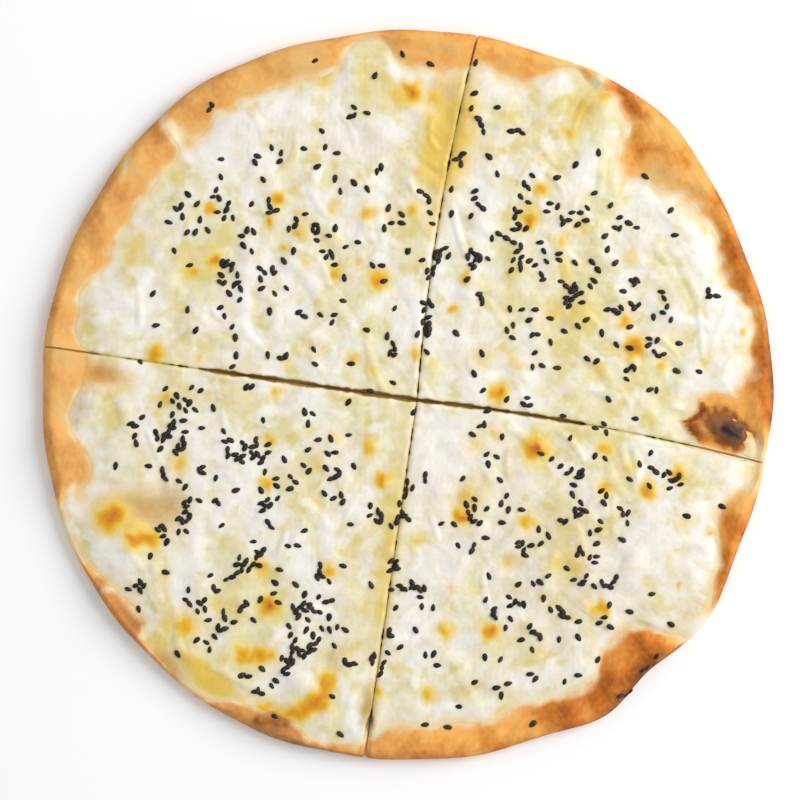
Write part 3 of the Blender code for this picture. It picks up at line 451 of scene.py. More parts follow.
    (-52, -106, 0), (-26.9, -106.9, 150), (-47.3, -114.1, 150), (4.9, -75.1, 85), (8.9, -75.4, 80),
    (2.6, -83.3, 130), (6.2, -92.2, 105), (9.1, -91.9, 60), (10.4, -95.9, 0), (30.6, -75.9, 40),
    (30.4, -77.4, 60), (30.9, -78.8, 130), (27.3, -93.1, 95), (32.8, -93.9, 55), (23.7, -101.9, 30),
    (35.5, -102.4, 15), (31.4, -103.9, 5), (33.1, -106.7, 80), (18, -110.6, 165), (6, -117.1, 0),
    (14.1, -118, 0), (44.2, -116.6, 40), (36.4, -79.4, 130), (34.6, -82.6, 80), (40.1, -86.9, 20),
    (43.2, -82, 60), (44.3, -84, 20), (45.7, -84.8, 150), (46.9, -85.8, 100), (44.1, -90.4, 110),
    (43.4, -99, 10), (45.1, -100.8, 45), (50.6, -76.1, 105), (53.6, -75.6, 135), (55, -77, 100),
    (54.6, -78.4, 150), (56.3, -78.9, 170), (60.4, -80.4, 10), (53.6, -86.9, 90), (60.4, -86, 120),
    (60.5, -99.5, 165), (55.6, -101.7, 85), (69.6, -78.9, 20), (67.9, -80.9, 25),
    (71.9, -82.4, 160), (78.6, -76.9, 165), (93.3, -81.4, 155), (67.4, -94, 60), (88.1, -92.7, 90),
    (83.4, -97.6, 20), (85.1, -96.6, 60), (75.3, -106.8, 10), (77.3, -106.9, 20),
    (78.8, -105.7, 60), (-33, 118.5, 40), (-2, 121, 120), (24, 118, 70), (8, 117.5, 160),
    (-24, -120.5, 140),
)

# ---------------------------------------------------------------- sizes of the form, in mm

# Even waves round the rim: share, number round the rim, phase
EDGE_WAVES = ((1.0, 9, 1.0), (0.7, 23, 2.0))
BARE_WAVES = ((0.03, 31, 0.0), (0.02, 53, 1.0))
RIM_WAVES = ((0.14, 17, 2.0), (0.10, 37, 0.0))

# Irregular relief and uneven edges, in layers: strength, size of a feature, seed
CRAGS = ((0.30, 6.0, 11), (0.10, 2.4, 12), (0.04, 1.0, 13))
DOUGH_SWELLING = ((0.12, 14.0, 14),)
BUBBLE_WRINKLES = ((0.22, 2.6, 15), (0.08, 1.1, 16))
CHEESE_BORDER = ((0.8, 10.0, 21), (0.25, 3.5, 22))
CREAM_BORDER = ((0.7, 4.0, 25),)
MARK_WANDER_X = ((0.6, 3.0, 31),)
MARK_WANDER_Y = ((0.6, 3.0, 32),)
CHEESE_LUMPS = ((0.28, 9.0, 41), (0.16, 4.0, 42), (0.04, 1.3, 43))
BAKING = ((0.06, 9.0, 51), (0.03, 3.0, 52), (0.02, 1.2, 53))
CHAR_WANDER = ((1.0, 2.5, 54),)
CHAR_FRAY_X = ((0.6, 2.0, 56),)
CHAR_FRAY_Y = ((0.6, 2.0, 57),)
TOAST_CLOUDS = ((0.22, 16.0, 61), (0.10, 5.0, 62))
SCORCH_CLOUDS = ((1.0, 6.0, 63),)
BUBBLE_FRAY = ((0.18, 2.4, 71),)
GLOW_FRAY = ((0.10, 5.0, 72),)
CUT_WANDER = ((0.5, 7.0, 82),)
CUT_FRAY = ((0.14, 2.5, 83), (0.08, 1.0, 84))
# Waves that make up one layer
GRAIN_WAVES = 16

# Step in degrees of the bare crust's widths, and steps that find the reach of the edge
BARE_STEP = 0.25
REACH_TRIES = 8

# The rim: bare width over which it fills out, share of the width where it starts to
# rise and where it is highest, share that it drops again outwards
RIM_FILLS_OUT = 6
RIM_START = -0.15
RIM_CREST = 0.75
RIM_DROP = 0.20
# Rounding of the edge: share of the bare width, least, most
TOP_ROUNDING = (0.45, 1.6, 4.5)
UNDERSIDE_ROUNDING = (0.7, 0.8, 3.5)

# The bubble: distances inside its edge over which it rises, and its rise
BUBBLE_SKIRT = (-1.2, 4.2)
BUBBLE_RISE = 4.6
# Parts of the bubble: x, y, half length, half width, turn
BUBBLE_FLANK = (101.8, -12.8, 5.4, 2.8, -55)
# A paler spot on the bubble's flank: a painted highlight
BUBBLE_HIGHLIGHT = (104.3, -11.6, 1.9, 1.9, 0)
BUBBLE_CHAR = (113.2, -11.8, 9.8, 5.5, -34)
BUBBLE_CORE = (117.2, -13.6, 6.8, 4.6, -35)
# Where along X the char of its crown thins
CROWN_FADE = (113, 119)

# The edge of the cheese: bare width at which it is fully ragged, margin round the
# bubble, width of the golden dough that it leaves, its thickness there, how deep it dives
# under bare crust, and how far in it fills out
RAGGED_WIDTH = 6
BUBBLE_MARGIN = 0.3
GLOW_REACH = 4.5
THIN_EDGE = 0.10
DEEPEST_DIVE = 1.0
CHEESE_FILLS_OUT = 5.5
# Distances inside the cheese's edge over which its colour covers the dough's
CREAM_AT_RIM = (-3.8, 4.4)
CREAM_AT_GLOW = (-0.5, 0.8)
CREAM_AT_BUBBLE = (-0.8, 2.2)

# Shreds: seed, field that they lie in, scatter of their turns, ranges of length, half
# width and height, and bend
STRAND_SEED = 5
STRAND_FIELD = 130
STRAND_SCATTER = 38
STRAND_LENGTHS = (12, 30)
STRAND_WIDTHS = (1.5, 3.2)
STRAND_HEIGHTS = (0.15, 0.50)
STRAND_BEND = 2.5

# Marks on the cheese: gain of the browned ones, how fast each kind fades outwards, rise of
# the browned ones and of the curd, and how far the rest is sunk
MARK_GAIN = 1.08
MARK_FALL = 0.85
STREAK_FALL = 0.9
HALO_FALL = 0.35
YELLOW_FALL = 0.6
DULL_FALL = 0.8
CURD_FALL = 0.9
MARK_RISE = 0.35
CURD_RISE = 0.5
CHEESE_SUNK = 0.25

# The dough: rings of its grid, shares of a cut's gap that its top and underside move
# into it, bulge of the crumb, how far below the top it bulges most, and the height of a
# side that bulges fully
BREAD_ROWS = 150
TOP_SET_OUT = -0.12
UNDERSIDE_SET_OUT = 0.10
CRUMB_BULGE = 0.46
CRUMB_BULGE_DEPTH = 1.5
CRUMB_FULL_HEIGHT = 5
# Burn of the outermost edge and its reach, toasting of the underside, and the distance
# in metres at which vertices are welded
EDGE_BURN = 0.16
EDGE_BURN_REACH = 0.7
TOASTING = 0.42
WELD = 0.002 * MM

# The cheese: rings of its grid, inset from the rim, depth and reach of its sinking at a cut,
# reach of the painted seam shade there (a darker, yellower edge), how it runs together over a
# cut and draws back from it, how far beyond its edge it is trimmed, and how deep its foot goes
CHEESE_ROWS = 205
CHEESE_INSET = 0.5
CUT_SINK = 0.55
CUT_SINK_REACH = 0.6
CUT_SEAM_SHADE_REACH = 0.5
RUN_FADE = 5
MOST_CLOSED = 0.485
DRAWN_WIDTH = 2
TRIM_BEYOND = 1.2
FOOT_DEPTH = 0.35
FOOT_LEAST = 0.3

# Sesame: seed of its random draws, least distance inside a slice, step for the slope under
# a seed, distance at which seeds lean on one another, lift of a seed and of a leaning one
SESAME_SEED = 23
SEED_INSIDE = 0.35
SLOPE_STEP = 0.8
CROWD_REACH = 1.7
SEED_LIFT = 0.16
CROWD_LIFT = 0.22

# The stage: floor and light in metres, sensor in mm, middle and height of the view in mm
FLOOR_SIZE = 6
KEY_SIZE = 1.2
KEY_PLACE = (1.28, 0.44, 1.08)
SENSOR_WIDTH = 36
VIEW_MIDDLE = (-2.84, -1.77)
VIEW_HEIGHT = 7


# ---------------------------------------------------------------- plan


def circle_gap(angle, other):
    """Degrees from one direction to another, between -180 and 180."""
    return (angle - other + 180) % 360 - 180


def waves(angle, kinds):
    """Sum of even waves round the rim, each given as its share, number and phase."""
    turn = np.radians(angle)
    return sum(share * np.sin(number * turn + phase) for share, number, phase in kinds)


def outline(angle):
    """Radius of the round in a direction."""
    radius = np.full(np.shape(angle), MEAN_RADIUS)
    for middle, rise, spread in SWELLS:
        radius = radius + rise * np.exp(-0.5 * (circle_gap(angle, middle) / spread) ** 2)
    return radius + EDGE_WOBBLE * waves(angle, EDGE_WAVES)


def bare_widths():
    """Directions all round, and the softened width of the bare crust in each."""
    angles = np.arange(0, 360, BARE_STEP)
    width = np.full_like(angles, LEAST_BARE)
    for start, end, full in BARE_STRETCHES:
        beyond = np.abs(circle_gap(angles, (start + end) / 2)) - (end - start) / 2
        share = np.clip(1 - beyond / BARE_FADE, 0, 1)
        width = np.maximum(width, full * share * share * (3 - 2 * share))
    width = width * (1 + waves(angles, BARE_WAVES))
    nearness = np.exp(-0.5 * (circle_gap(angles, 0) / BARE_BLUR) ** 2)
    spectrum = np.fft.rfft(width) * np.fft.rfft(nearness / nearness.sum())
    return angles, np.fft.irfft(spectrum, len(angles))


BARE_ANGLES, BARE_WIDTHS = bare_widths()


def bare_width(angle):
    """Width of the bare crust in a direction."""
    return np.interp(angle % 360, BARE_ANGLES, BARE_WIDTHS, period=360)


def middle_of_box():
    """Middle of the box round the outline."""
    angles = np.arange(360.0)
    radius, turn = outline(angles), np.radians(angles)
    x, y = radius * np.cos(turn), radius * np.sin(turn)
    return (x.min() + x.max()) / 2, (y.min() + y.max()) / 2


MIDDLE = middle_of_box()


def direction(angle):
    """Unit step in a direction."""
    return np.cos(np.radians(angle)), np.sin(np.radians(angle))


def at_rim(x, y):
    """Direction of points, how far in from the rim they lie, and the bare crust's width there."""
    angle = np.degrees(np.arctan2(y, x))
    return angle, outline(angle) - np.hypot(x, y), bare_width(angle)


class Slice:
    """Plan of one slice: a quarter between the arm it starts at and the next one."""

    def __init__(self, first, last):
        self.first, self.last = first, last
        self.sweep = (last[0] - first[0]) % 360
        ax, ay = direction(first[0] + 90)
        bx, by = direction(last[0] - 90)
        reach = (first[2] + last[2]) / 4 / (1 + ax * bx + ay * by)
        self.tip = (CROSSING[0] + reach * (ax + bx), CROSSING[1] + reach * (ay + by))

    def side_shift(self, arm, inward, reach):
        """How far a side leaves its straight line, towards the arm's left."""
        bow, tip_gap, rim_gap = arm[1:4]
        along = reach / ARM_LENGTH
        widening = (rim_gap - tip_gap) / 2 * np.maximum(along, 0) ** 3
        return 4 * bow * along * (1 - along) + inward * widening

    def points(self, share, reach):
        """Points at a reach from the tip, with share 0 at the first side, 1 at the last."""
        rx, ry = direction(self.first[0] + share * self.sweep)
        first = (1 - share) ** 2 * self.side_shift(self.first, 1, reach)
        last = share ** 2 * self.side_shift(self.last, -1, reach)
        fx, fy = direction(self.first[0] + 90)
        lx, ly = direction(self.last[0] + 90)
        return (
            self.tip[0] + reach * rx + first * fx + last * lx,
            self.tip[1] + reach * ry + first * fy + last * ly,
        )

    def reach_at(self, share, inset):
        """Reach at which the round's edge is an inset away."""
        reach = np.full(np.shape(share), MEAN_RADIUS)
        for _ in range(REACH_TRIES):
            x, y = self.points(share, reach)
            reach = reach + outline(np.degrees(np.arctan2(y, x))) - inset - np.hypot(x, y)
        return reach

    def sides(self, x, y):
        """For each cut side: its arm, the way out, and how far points lie along and inside it."""
        for arm, inward in ((self.first, 1), (self.last, -1)):
            hx, hy = direction(arm[0])
            along = (x - self.tip[0]) * hx + (y - self.tip[1]) * hy
            across = (y - self.tip[1]) * hx - (x - self.tip[0]) * hy
            inside = inward * (across - self.side_shift(arm, inward, along))
            yield arm, (inward * hy, -inward * hx), along, inside

    def gap(self, arm, along):
        """Width of a cut at a reach along it."""
        return arm[2] + (arm[3] - arm[2]) * np.clip(along / ARM_LENGTH, 0, 1) ** 3

    def from_sides(self, x, y):
        """Distance of points from the nearer cut side of the slice."""
        return np.minimum(*(inside for _, _, _, inside in self.sides(x, y)))

    def set_out(self, x, y, share, near=0.02):
        """Move points near a cut side to a share of the gap beyond it."""
        moved_x, moved_y = x, y
        for arm, out, along, inside in self.sides(x, y):
            shift = (inside + share * self.gap(arm, along)) * (inside < near)
            moved_x, moved_y = moved_x + shift * out[0], moved_y + shift * out[1]
        return moved_x, moved_y

    def draw_back(self, x, y):
        """Move the cheese back from the cuts, and out over them where it has run together."""
        moved_x, moved_y = x, y
        for arm, out, along, inside in self.sides(x, y):
            start, end, share = RUN_TOGETHER[arm]
            run = smooth(along, start - RUN_FADE, start + RUN_FADE)
            run = run * (1 - smooth(along, end - RUN_FADE, end + RUN_FADE))
            level = np.zeros_like(along)
            back = arm[4] * (1 - run) * (1 + grains(along, level, CUT_WANDER))
            back = back + grains(along, level, CUT_FRAY)
            gap = self.gap(arm, along)
            shift = -np.maximum(back - share * run * gap, -MOST_CLOSED * gap)
            shift = shift * np.exp(-inside / DRAWN_WIDTH)
            moved_x, moved_y = moved_x + shift * out[0], moved_y + shift * out[1]
        return moved_x, moved_y


# ---------------------------------------------------------------- relief, in mm


def grain(x, y, size, seed):
    """Smooth irregular relief, about -1 to 1, with features of a size."""
    chance = np.random.default_rng(seed)
    total = np.zeros_like(x)
    for _ in range(GRAIN_WAVES):
        turn, phase = chance.uniform(0, 2 * math.pi, 2)
        pitch = 2 * math.pi / (size * chance.uniform(1.4, 3.0))
        total += np.sin(pitch * (x * math.cos(turn) + y * math.sin(turn)) + phase)
    return total / math.sqrt(GRAIN_WAVES)


def grains(x, y, layers):
    """Sum of layers of irregular relief, each given as its strength, size and seed."""
    return sum(strength * grain(x, y, size, seed) for strength, size, seed in layers)


def smooth(value, low, high):
    """Share from 0 at the low end to 1 at the high end, level at both."""
    share = np.clip((value - low) / (high - low), 0, 1)
    return share * share * (3 - 2 * share)


def oval(x, y, cx, cy, half_length, half_width, turn):
    """Distance from an oval's middle, 1 on its edge."""
    tx, ty = direction(turn)
    along = (x - cx) * tx + (y - cy) * ty
    across = (y - cy) * tx - (x - cx) * ty
    return np.hypot(along / half_length, across / half_width)


def strongest(x, y, places, fall):
    """Greatest strength at points of oval places that fade outwards."""
    total = np.zeros_like(x)
    for *place, strength in places:
        total = np.maximum(total, strength * np.exp(-fall * oval(x, y, *place) ** 2))
    return total


def from_line(x, y, ax, ay, bx, by):
    """Distance of points from the stretch between two others."""
    length = math.hypot(bx - ax, by - ay)
    tx, ty = (bx - ax) / length, (by - ay) / length
    along = np.clip((x - ax) * tx + (y - ay) * ty, 0, length)
    return np.hypot(x - ax - along * tx, y - ay - along * ty)


def within_bubble(x, y):
    """Distance inside the bubble's uneven edge, negative outside it."""
    away = np.full_like(x, np.inf)
    inside = np.zeros(np.shape(x), dtype=bool)
    for (ax, ay), (bx, by) in zip(BUBBLE_EDGE, BUBBLE_EDGE[1:] + BUBBLE_EDGE[:1]):
        away = np.minimum(away, from_line(x, y, ax, ay, bx, by))
        crossed = (ay > y) != (by > y)
        inside ^= crossed & (x < ax + (bx - ax) * (y - ay) / ((by - ay) or 1))
    return np.where(inside, away, -away) + grains(x, y, BUBBLE_FRAY)


def along_horn(x, y):
    """Nearness to the darkest edge of the bubble, 1 on it."""
    near = [np.exp(-(from_line(x, y, *ends) / half_width) ** 2) for *ends, half_width in BUBBLE_HORN]
    return np.max(near, axis=0)


def from_glow(x, y):
    """Distance from the golden dough round the bubble, in widths of it, negative inside."""
    nearest = np.min([oval(x, y, *place) for place in BUBBLE_GLOW], axis=0)
    return nearest * (1 + grains(x, y, GLOW_FRAY)) - 1


def rounded(inset, width, share_of_width, least, most):
    """Height of a quarter round, 0 at the rim and 1 where it ends, sized by the bare width."""
    share = np.clip(inset / np.clip(share_of_width * width, least, most), 0, 1)
    return np.sqrt(1 - (1 - share) ** 2)


def bread_top(x, y):
    """Height of the baked dough."""
    dough = bpy.context.scene.manakish_dough
    angle, inset, width = at_rim(x, y)
    filled_out = 1 - np.exp(-np.maximum(0, width - LEAST_BARE) / RIM_FILLS_OUT)
    rise = dough.rim_rise / MM * (1 + waves(angle, RIM_WAVES)) * filled_out
    outward = np.clip(1 - inset / width, RIM_START, 1)
    swell = smooth(outward, RIM_START, RIM_CREST) * (1 - RIM_DROP * smooth(outward, RIM_CREST, 1))
    height = dough.thickness / MM + rise * swell
    crags = smooth(outward, 0.1, 0.5) * smooth(width, 1.5, 5)
    height += crags * grains(x, y, CRAGS)
    height += grains(x, y, DOUGH_SWELLING)
    for *place, swelling in MOUNDS:
        height += swelling * np.exp(-1.5 * oval(x, y, *place) ** 2)
    puff = smooth(within_bubble(x, y), *BUBBLE_SKIRT)
    height += BUBBLE_RISE * puff ** 0.8 + smooth(puff, 0.1, 0.5) * grains(x, y, BUBBLE_WRINKLES)
    edge = dough.edge_height / MM
    return edge + (height - edge) * rounded(inset, width, *TOP_ROUNDING)


def bread_underside(x, y):
    """Height of the underside, rounded up to the edge."""
    dough = bpy.context.scene.manakish_dough
    _, inset, width = at_rim(x, y)
    return dough.edge_height / MM * (1 - rounded(inset, width, *UNDERSIDE_ROUNDING))


def rim_cover(x, y):
    """How far inside the cheese's edge along the rim a point is, negative on the bare crust."""
    _, inset, width = at_rim(x, y)
    cover = inset - width
    for *lobe, turn in CRUST_LOBES:
        cover = np.minimum(cover, lobe[-1] * (oval(x, y, *lobe, turn) - 1))
    for *tongue, turn in CHEESE_TONGUES:
        cover = np.maximum(cover, tongue[-1] * (1 - oval(x, y, *tongue, turn)))
    return cover + np.minimum(1, width / RAGGED_WIDTH) * grains(x, y, CHEESE_BORDER)


def cheese_cover(x, y):
    """How far inside the cheese's edge a point is, on the rim or at the bubble."""
    cover = np.minimum(rim_cover(x, y), -BUBBLE_MARGIN - within_bubble(x, y))
    return np.minimum(cover, GLOW_REACH * from_glow(x, y))


def cream_at(x, y):
    """How far the cheese's colour hides the dough's, across the edge of the cheese."""
    share = smooth(rim_cover(x, y) + grains(x, y, CREAM_BORDER), *CREAM_AT_RIM)
    share = share * smooth(from_glow(x, y), *CREAM_AT_GLOW)
    share = share * smooth(-within_bubble(x, y), *CREAM_AT_BUBBLE)
    for *place, showing in THIN_PLACES:
        share = share * (1 - showing * np.exp(-oval(x, y, *place) ** 2))
    return share


class Strands:
    """Half-melted shreds: their relief, and how white or yellow each is, at given points."""

    def __init__(self, x, y):
        self.relief = np.zeros_like(x)
        self.tone = np.zeros_like(x)
        self.weight = np.zeros_like(x)
        cheese = bpy.context.scene.manakish_cheese
        chance = np.random.default_rng(STRAND_SEED)
        for _ in range(cheese.strands):
            cx, cy = chance.uniform(-STRAND_FIELD, STRAND_FIELD, 2)
            lean = 70 * math.sin(cx / 41 + cy / 57) + 85
            self.lay(x, y, cx, cy, lean + chance.normal(0, STRAND_SCATTER), chance)

    def lay(self, x, y, cx, cy, lean, chance):
        """One shred, bent, rounded across and tapered at its ends."""
        length = chance.uniform(*STRAND_LENGTHS)
        width = chance.uniform(*STRAND_WIDTHS)
        bend = chance.normal(0, STRAND_BEND)
        height = chance.uniform(*STRAND_HEIGHTS)
        tone = chance.uniform(-1, 1)
        near = (np.abs(x - cx) < length) & (np.abs(y - cy) < length)
        if not near.any():
            return
        tx, ty = direction(lean)
        along = ((x[near] - cx) * tx + (y[near] - cy) * ty) / (length / 2)
        across = (y[near] - cy) * tx - (x[near] - cx) * ty - bend * (1 - along ** 2)
        crown = np.clip(1 - (across / width) ** 2, 0, 1) * np.clip(1 - along ** 4, 0, 1)
        self.relief[near] = np.maximum(self.relief[near], height * crown ** 1.3)
        self.tone[near] += tone * crown ** 1.5
        self.weight[near] += crown ** 1.5

    def tones(self):
        """How white, above 0, or yellow, below 0, the shreds make each point."""
        return self.tone / (self.weight + 0.35)


def browning_at(x, y):
    """Depth of browning on the cheese, 0 to 1, and of the gold halo round it."""
    x, y = x + grains(x, y, MARK_WANDER_X), y + grains(x, y, MARK_WANDER_Y)
    depth, halo = np.zeros_like(x), np.zeros_like(x)
    for cx, cy, radius, full in BROWNED:
        near = (np.abs(x - cx) < 4 * radius) & (np.abs(y - cy) < 4 * radius)
        away = np.hypot(x[near] - cx, y[near] - cy) / radius
        depth[near] = np.maximum(depth[near], MARK_GAIN * full * np.exp(-MARK_FALL * away ** 2))
        halo[near] = np.maximum(halo[near], full * np.exp(-HALO_FALL * away ** 2))
    for *ends, half_width, full in BROWNED_STREAKS:
        away = from_line(x, y, *ends) / half_width
        depth = np.maximum(depth, full * np.exp(-STREAK_FALL * away ** 2))
        halo = np.maximum(halo, full * np.exp(-HALO_FALL * away ** 2))
    return depth, halo


def cheese_top(x, y, strands):
    """Height of the melted cheese over the dough; it dives under bare crust."""
    cover = cheese_cover(x, y)
    full = bpy.context.scene.manakish_cheese.thickness / MM
    swelling = 1 - np.exp(-(np.maximum(cover, 0) / CHEESE_FILLS_OUT) ** 1.6)
    body = THIN_EDGE + np.where(cover > 0, (full - THIN_EDGE) * swelling, 0.5 * cover)
    depth, _ = browning_at(x, y)
    relief = grains(x, y, CHEESE_LUMPS) + MARK_RISE * smooth(depth, 0.2, 0.8)
    relief += CURD_RISE * strongest(x, y, CURD, CURD_FALL) - CHEESE_SUNK
    relief = smooth(cover, 0.3, 7.0) * (relief + strands.relief)
    return bread_top(x, y) + np.maximum(body, -DEEPEST_DIVE) + relief


# ---------------------------------------------------------------- modelling helpers


def read(items, name, width=1, kind=float):
    """One row of values for each of a mesh's vertices, edges or faces."""
    flat = np.empty(len(items) * width, dtype=kind)
    items.foreach_get(name, flat)
    return flat.reshape(-1, width)


def coordinates(piece):
    """Places of a piece's vertices, in metres."""
    return read(piece.data.vertices, "co", 3)


@contextmanager
def edit_mode():
    """Edit mode on the active piece while a block runs."""
    bpy.ops.object.mode_set(mode="EDIT")
    yield
    bpy.ops.object.mode_set(mode="OBJECT")


def place_vertices(piece, places):
    """Move every vertex to its own place."""
    piece.data.vertices.foreach_set("co", np.ascontiguousarray(places).ravel())
    piece.data.update()


def to_metres(x, y, z):
    """Places in the frame's metres from places in the plan's millimetres."""
    return np.column_stack(((x - MIDDLE[0]) * MM, (y - MIDDLE[1]) * MM, z * MM))


def to_plan(places):
    """Plan places in millimetres from places in metres."""
    return places[:, 0] / MM + MIDDLE[0], places[:, 1] / MM + MIDDLE[1], places[:, 2] / MM


def keep(piece, name, values):
    """Store one number for each vertex, for the material to read."""
    layer = piece.data.attributes.get(name) or piece.data.attributes.new(name, "FLOAT", "POINT")
    layer.data.foreach_set("value", np.asarray(values, dtype=np.float32))


def select_only(piece):
    """Select one piece and make it the active one."""
    bpy.ops.object.select_all(action="DESELECT")
    piece.select_set(True)
    bpy.context.view_layer.objects.active = piece


def select_vertices(piece, chosen):
    """Select vertices by a mask, from object mode."""
    mesh = piece.data
    mesh.polygons.foreach_set("select", np.zeros(len(mesh.polygons), dtype=bool))
    mesh.edges.foreach_set("select", np.zeros(len(mesh.edges), dtype=bool))
    mesh.vertices.foreach_set("select", np.asarray(chosen, dtype=bool))
    mesh.update()


def selected_vertices(piece):
    """Which of a piece's vertices are selected."""
    return read(piece.data.vertices, "select", kind=bool)[:, 0]


def quarter_grid(name, plan, rows, inset, spacing):
    """A grid laid over the slice in rings round its tip, out to an inset from the edge."""
    bpy.ops.object.select_all(action="DESELECT")
    bpy.ops.mesh.primitive_grid_add(x_subdivisions=rows, y_subdivisions=rows, size=1)
    piece = bpy.context.object
    piece.name = piece.data.name = name
    corners = coordinates(piece)
    across, along = corners[:, 0] + 0.5, corners[:, 1] + 0.5
    outward = np.maximum(np.maximum(across, along), 1e-9)
    share = np.where(across >= along, 0.5 * along / outward, 1 - 0.5 * across / outward)
    reach = plan.reach_at(share, inset) * spacing(outward)
    x, y = plan.points(share, reach)
    place_vertices(piece, to_metres(x, y, np.zeros_like(x)))
    return piece


def even(outward):
    """Rings evenly far apart."""
    return outward


def crowded_to_rim(outward):
    """Rings far apart under the cheese and close together on the bare rim."""
    inner, inner_share = 0.45, 0.80
    rim = np.clip((outward - inner) / (1 - inner), 0, 1)
    crowded = inner_share + (1 - inner_share) * (1 - (1 - rim) ** 1.5)
    return np.where(outward < inner, inner_share * outward / inner, crowded)


def keep_largest_island(piece):
    """Drop scraps that trimming left apart from the sheet."""
    first, second = read(piece.data.edges, "vertices", 2, np.int64).T
    label = np.arange(len(piece.data.vertices))
    while True:
        lowest = np.minimum(label[first], label[second])
        spread = label.copy()
        np.minimum.at(spread, first, lowest)
        np.minimum.at(spread, second, lowest)
        spread = spread[spread]
        if np.array_equal(spread, label):
            break
        label = spread
    names, counts = np.unique(label, return_counts=True)
    select_vertices(piece, label != names[counts.argmax()])
    with edit_mode():
        bpy.ops.mesh.delete(type="VERT")


# ---------------------------------------------------------------- dough


def baked_depth(x, y):
    """How deeply the dough's top is baked, 0 pale to 1 dark."""
    angle, inset, width = at_rim(x, y)
    depth = np.interp(angle, *zip(*BAKED), period=360)
    depth = depth + 0.10 * (np.clip(1 - inset / width, -1, 1) - 0.45)
    depth = depth + grains(x, y, BAKING)
    depth = depth + EDGE_BURN * np.exp(-np.maximum(inset, 0) / EDGE_BURN_REACH)
    for *place, change in BAKED_PATCHES:
        depth = depth + change * np.exp(-1.2 * oval(x, y, *place) ** 2)
    near = np.maximum(1 - smooth(from_glow(x, y), -0.2, 0.7), smooth(within_bubble(x, y), -2.4, 0.2))
    flank = np.exp(-1.2 * oval(x, y, *BUBBLE_FLANK) ** 2)
    # Paler spot on the bubble's flank: a painted highlight
    pale = np.exp(-oval(x, y, *BUBBLE_HIGHLIGHT) ** 2)
    depth = depth * (1 - near) + near * (0.54 + 0.36 * flank - 0.26 * pale)
    return np.clip(np.maximum(depth, 0.95 * along_horn(x, y)), 0, 1)


def char_depth(x, y):
    """How charred the dough is, 0 to 1."""
    char = np.zeros_like(x)
    wander = grains(x, y, CHAR_WANDER)
    for *ends, half_width, full in CHARRED:
        away = from_line(x, y, *ends) / half_width
        char = np.maximum(char, full * np.exp(-(away ** 2)) * (1 + 0.25 * wander))
    core = np.exp(-1.1 * oval(x, y, *BUBBLE_CORE) ** 2)
    reach = oval(x + grains(x, y, CHAR_FRAY_X), y + grains(x, y, CHAR_FRAY_Y), *BUBBLE_CHAR)
    body = np.clip(1.15 * np.exp(-reach ** 2), 0, 1)
    crown = body * (0.56 - 0.14 * smooth(x, *CROWN_FADE) + 0.08 * wander + 0.50 * core)
    return np.clip(np.maximum(char, crown), 0, 1)


def bulge_cut_sides(piece, plan, half, on_side):
    """Bulge the soft crumb of the cut sides until two slices nearly touch."""
    mesh = piece.data
    ends = read(mesh.edges, "vertices", 2, np.int64)
    upper, lower = ends.min(axis=1), ends.max(axis=1)
    upright = (lower - upper == half) & on_side[upper % half]
    select_vertices(piece, np.zeros(len(mesh.vertices), dtype=bool))
    mesh.edges.foreach_set("select", upright)
    bpy.context.tool_settings.mesh_select_mode = (False, True, False)
    with edit_mode():
        bpy.ops.mesh.subdivide_edgering(number_cuts=1, interpolation="LINEAR")
    places = coordinates(piece)
    x, y, z = to_plan(places[2 * half:])
    top = bread_top(x, y)
    tall = np.clip((top - bread_underside(x, y)) / CRUMB_FULL_HEIGHT, 0, 1)
    x, y = plan.set_out(x, y, CRUMB_BULGE * tall, near=1.5)
    places[2 * half:] = to_metres(x, y, np.maximum(z, top - CRUMB_BULGE_DEPTH))
    place_vertices(piece, places)


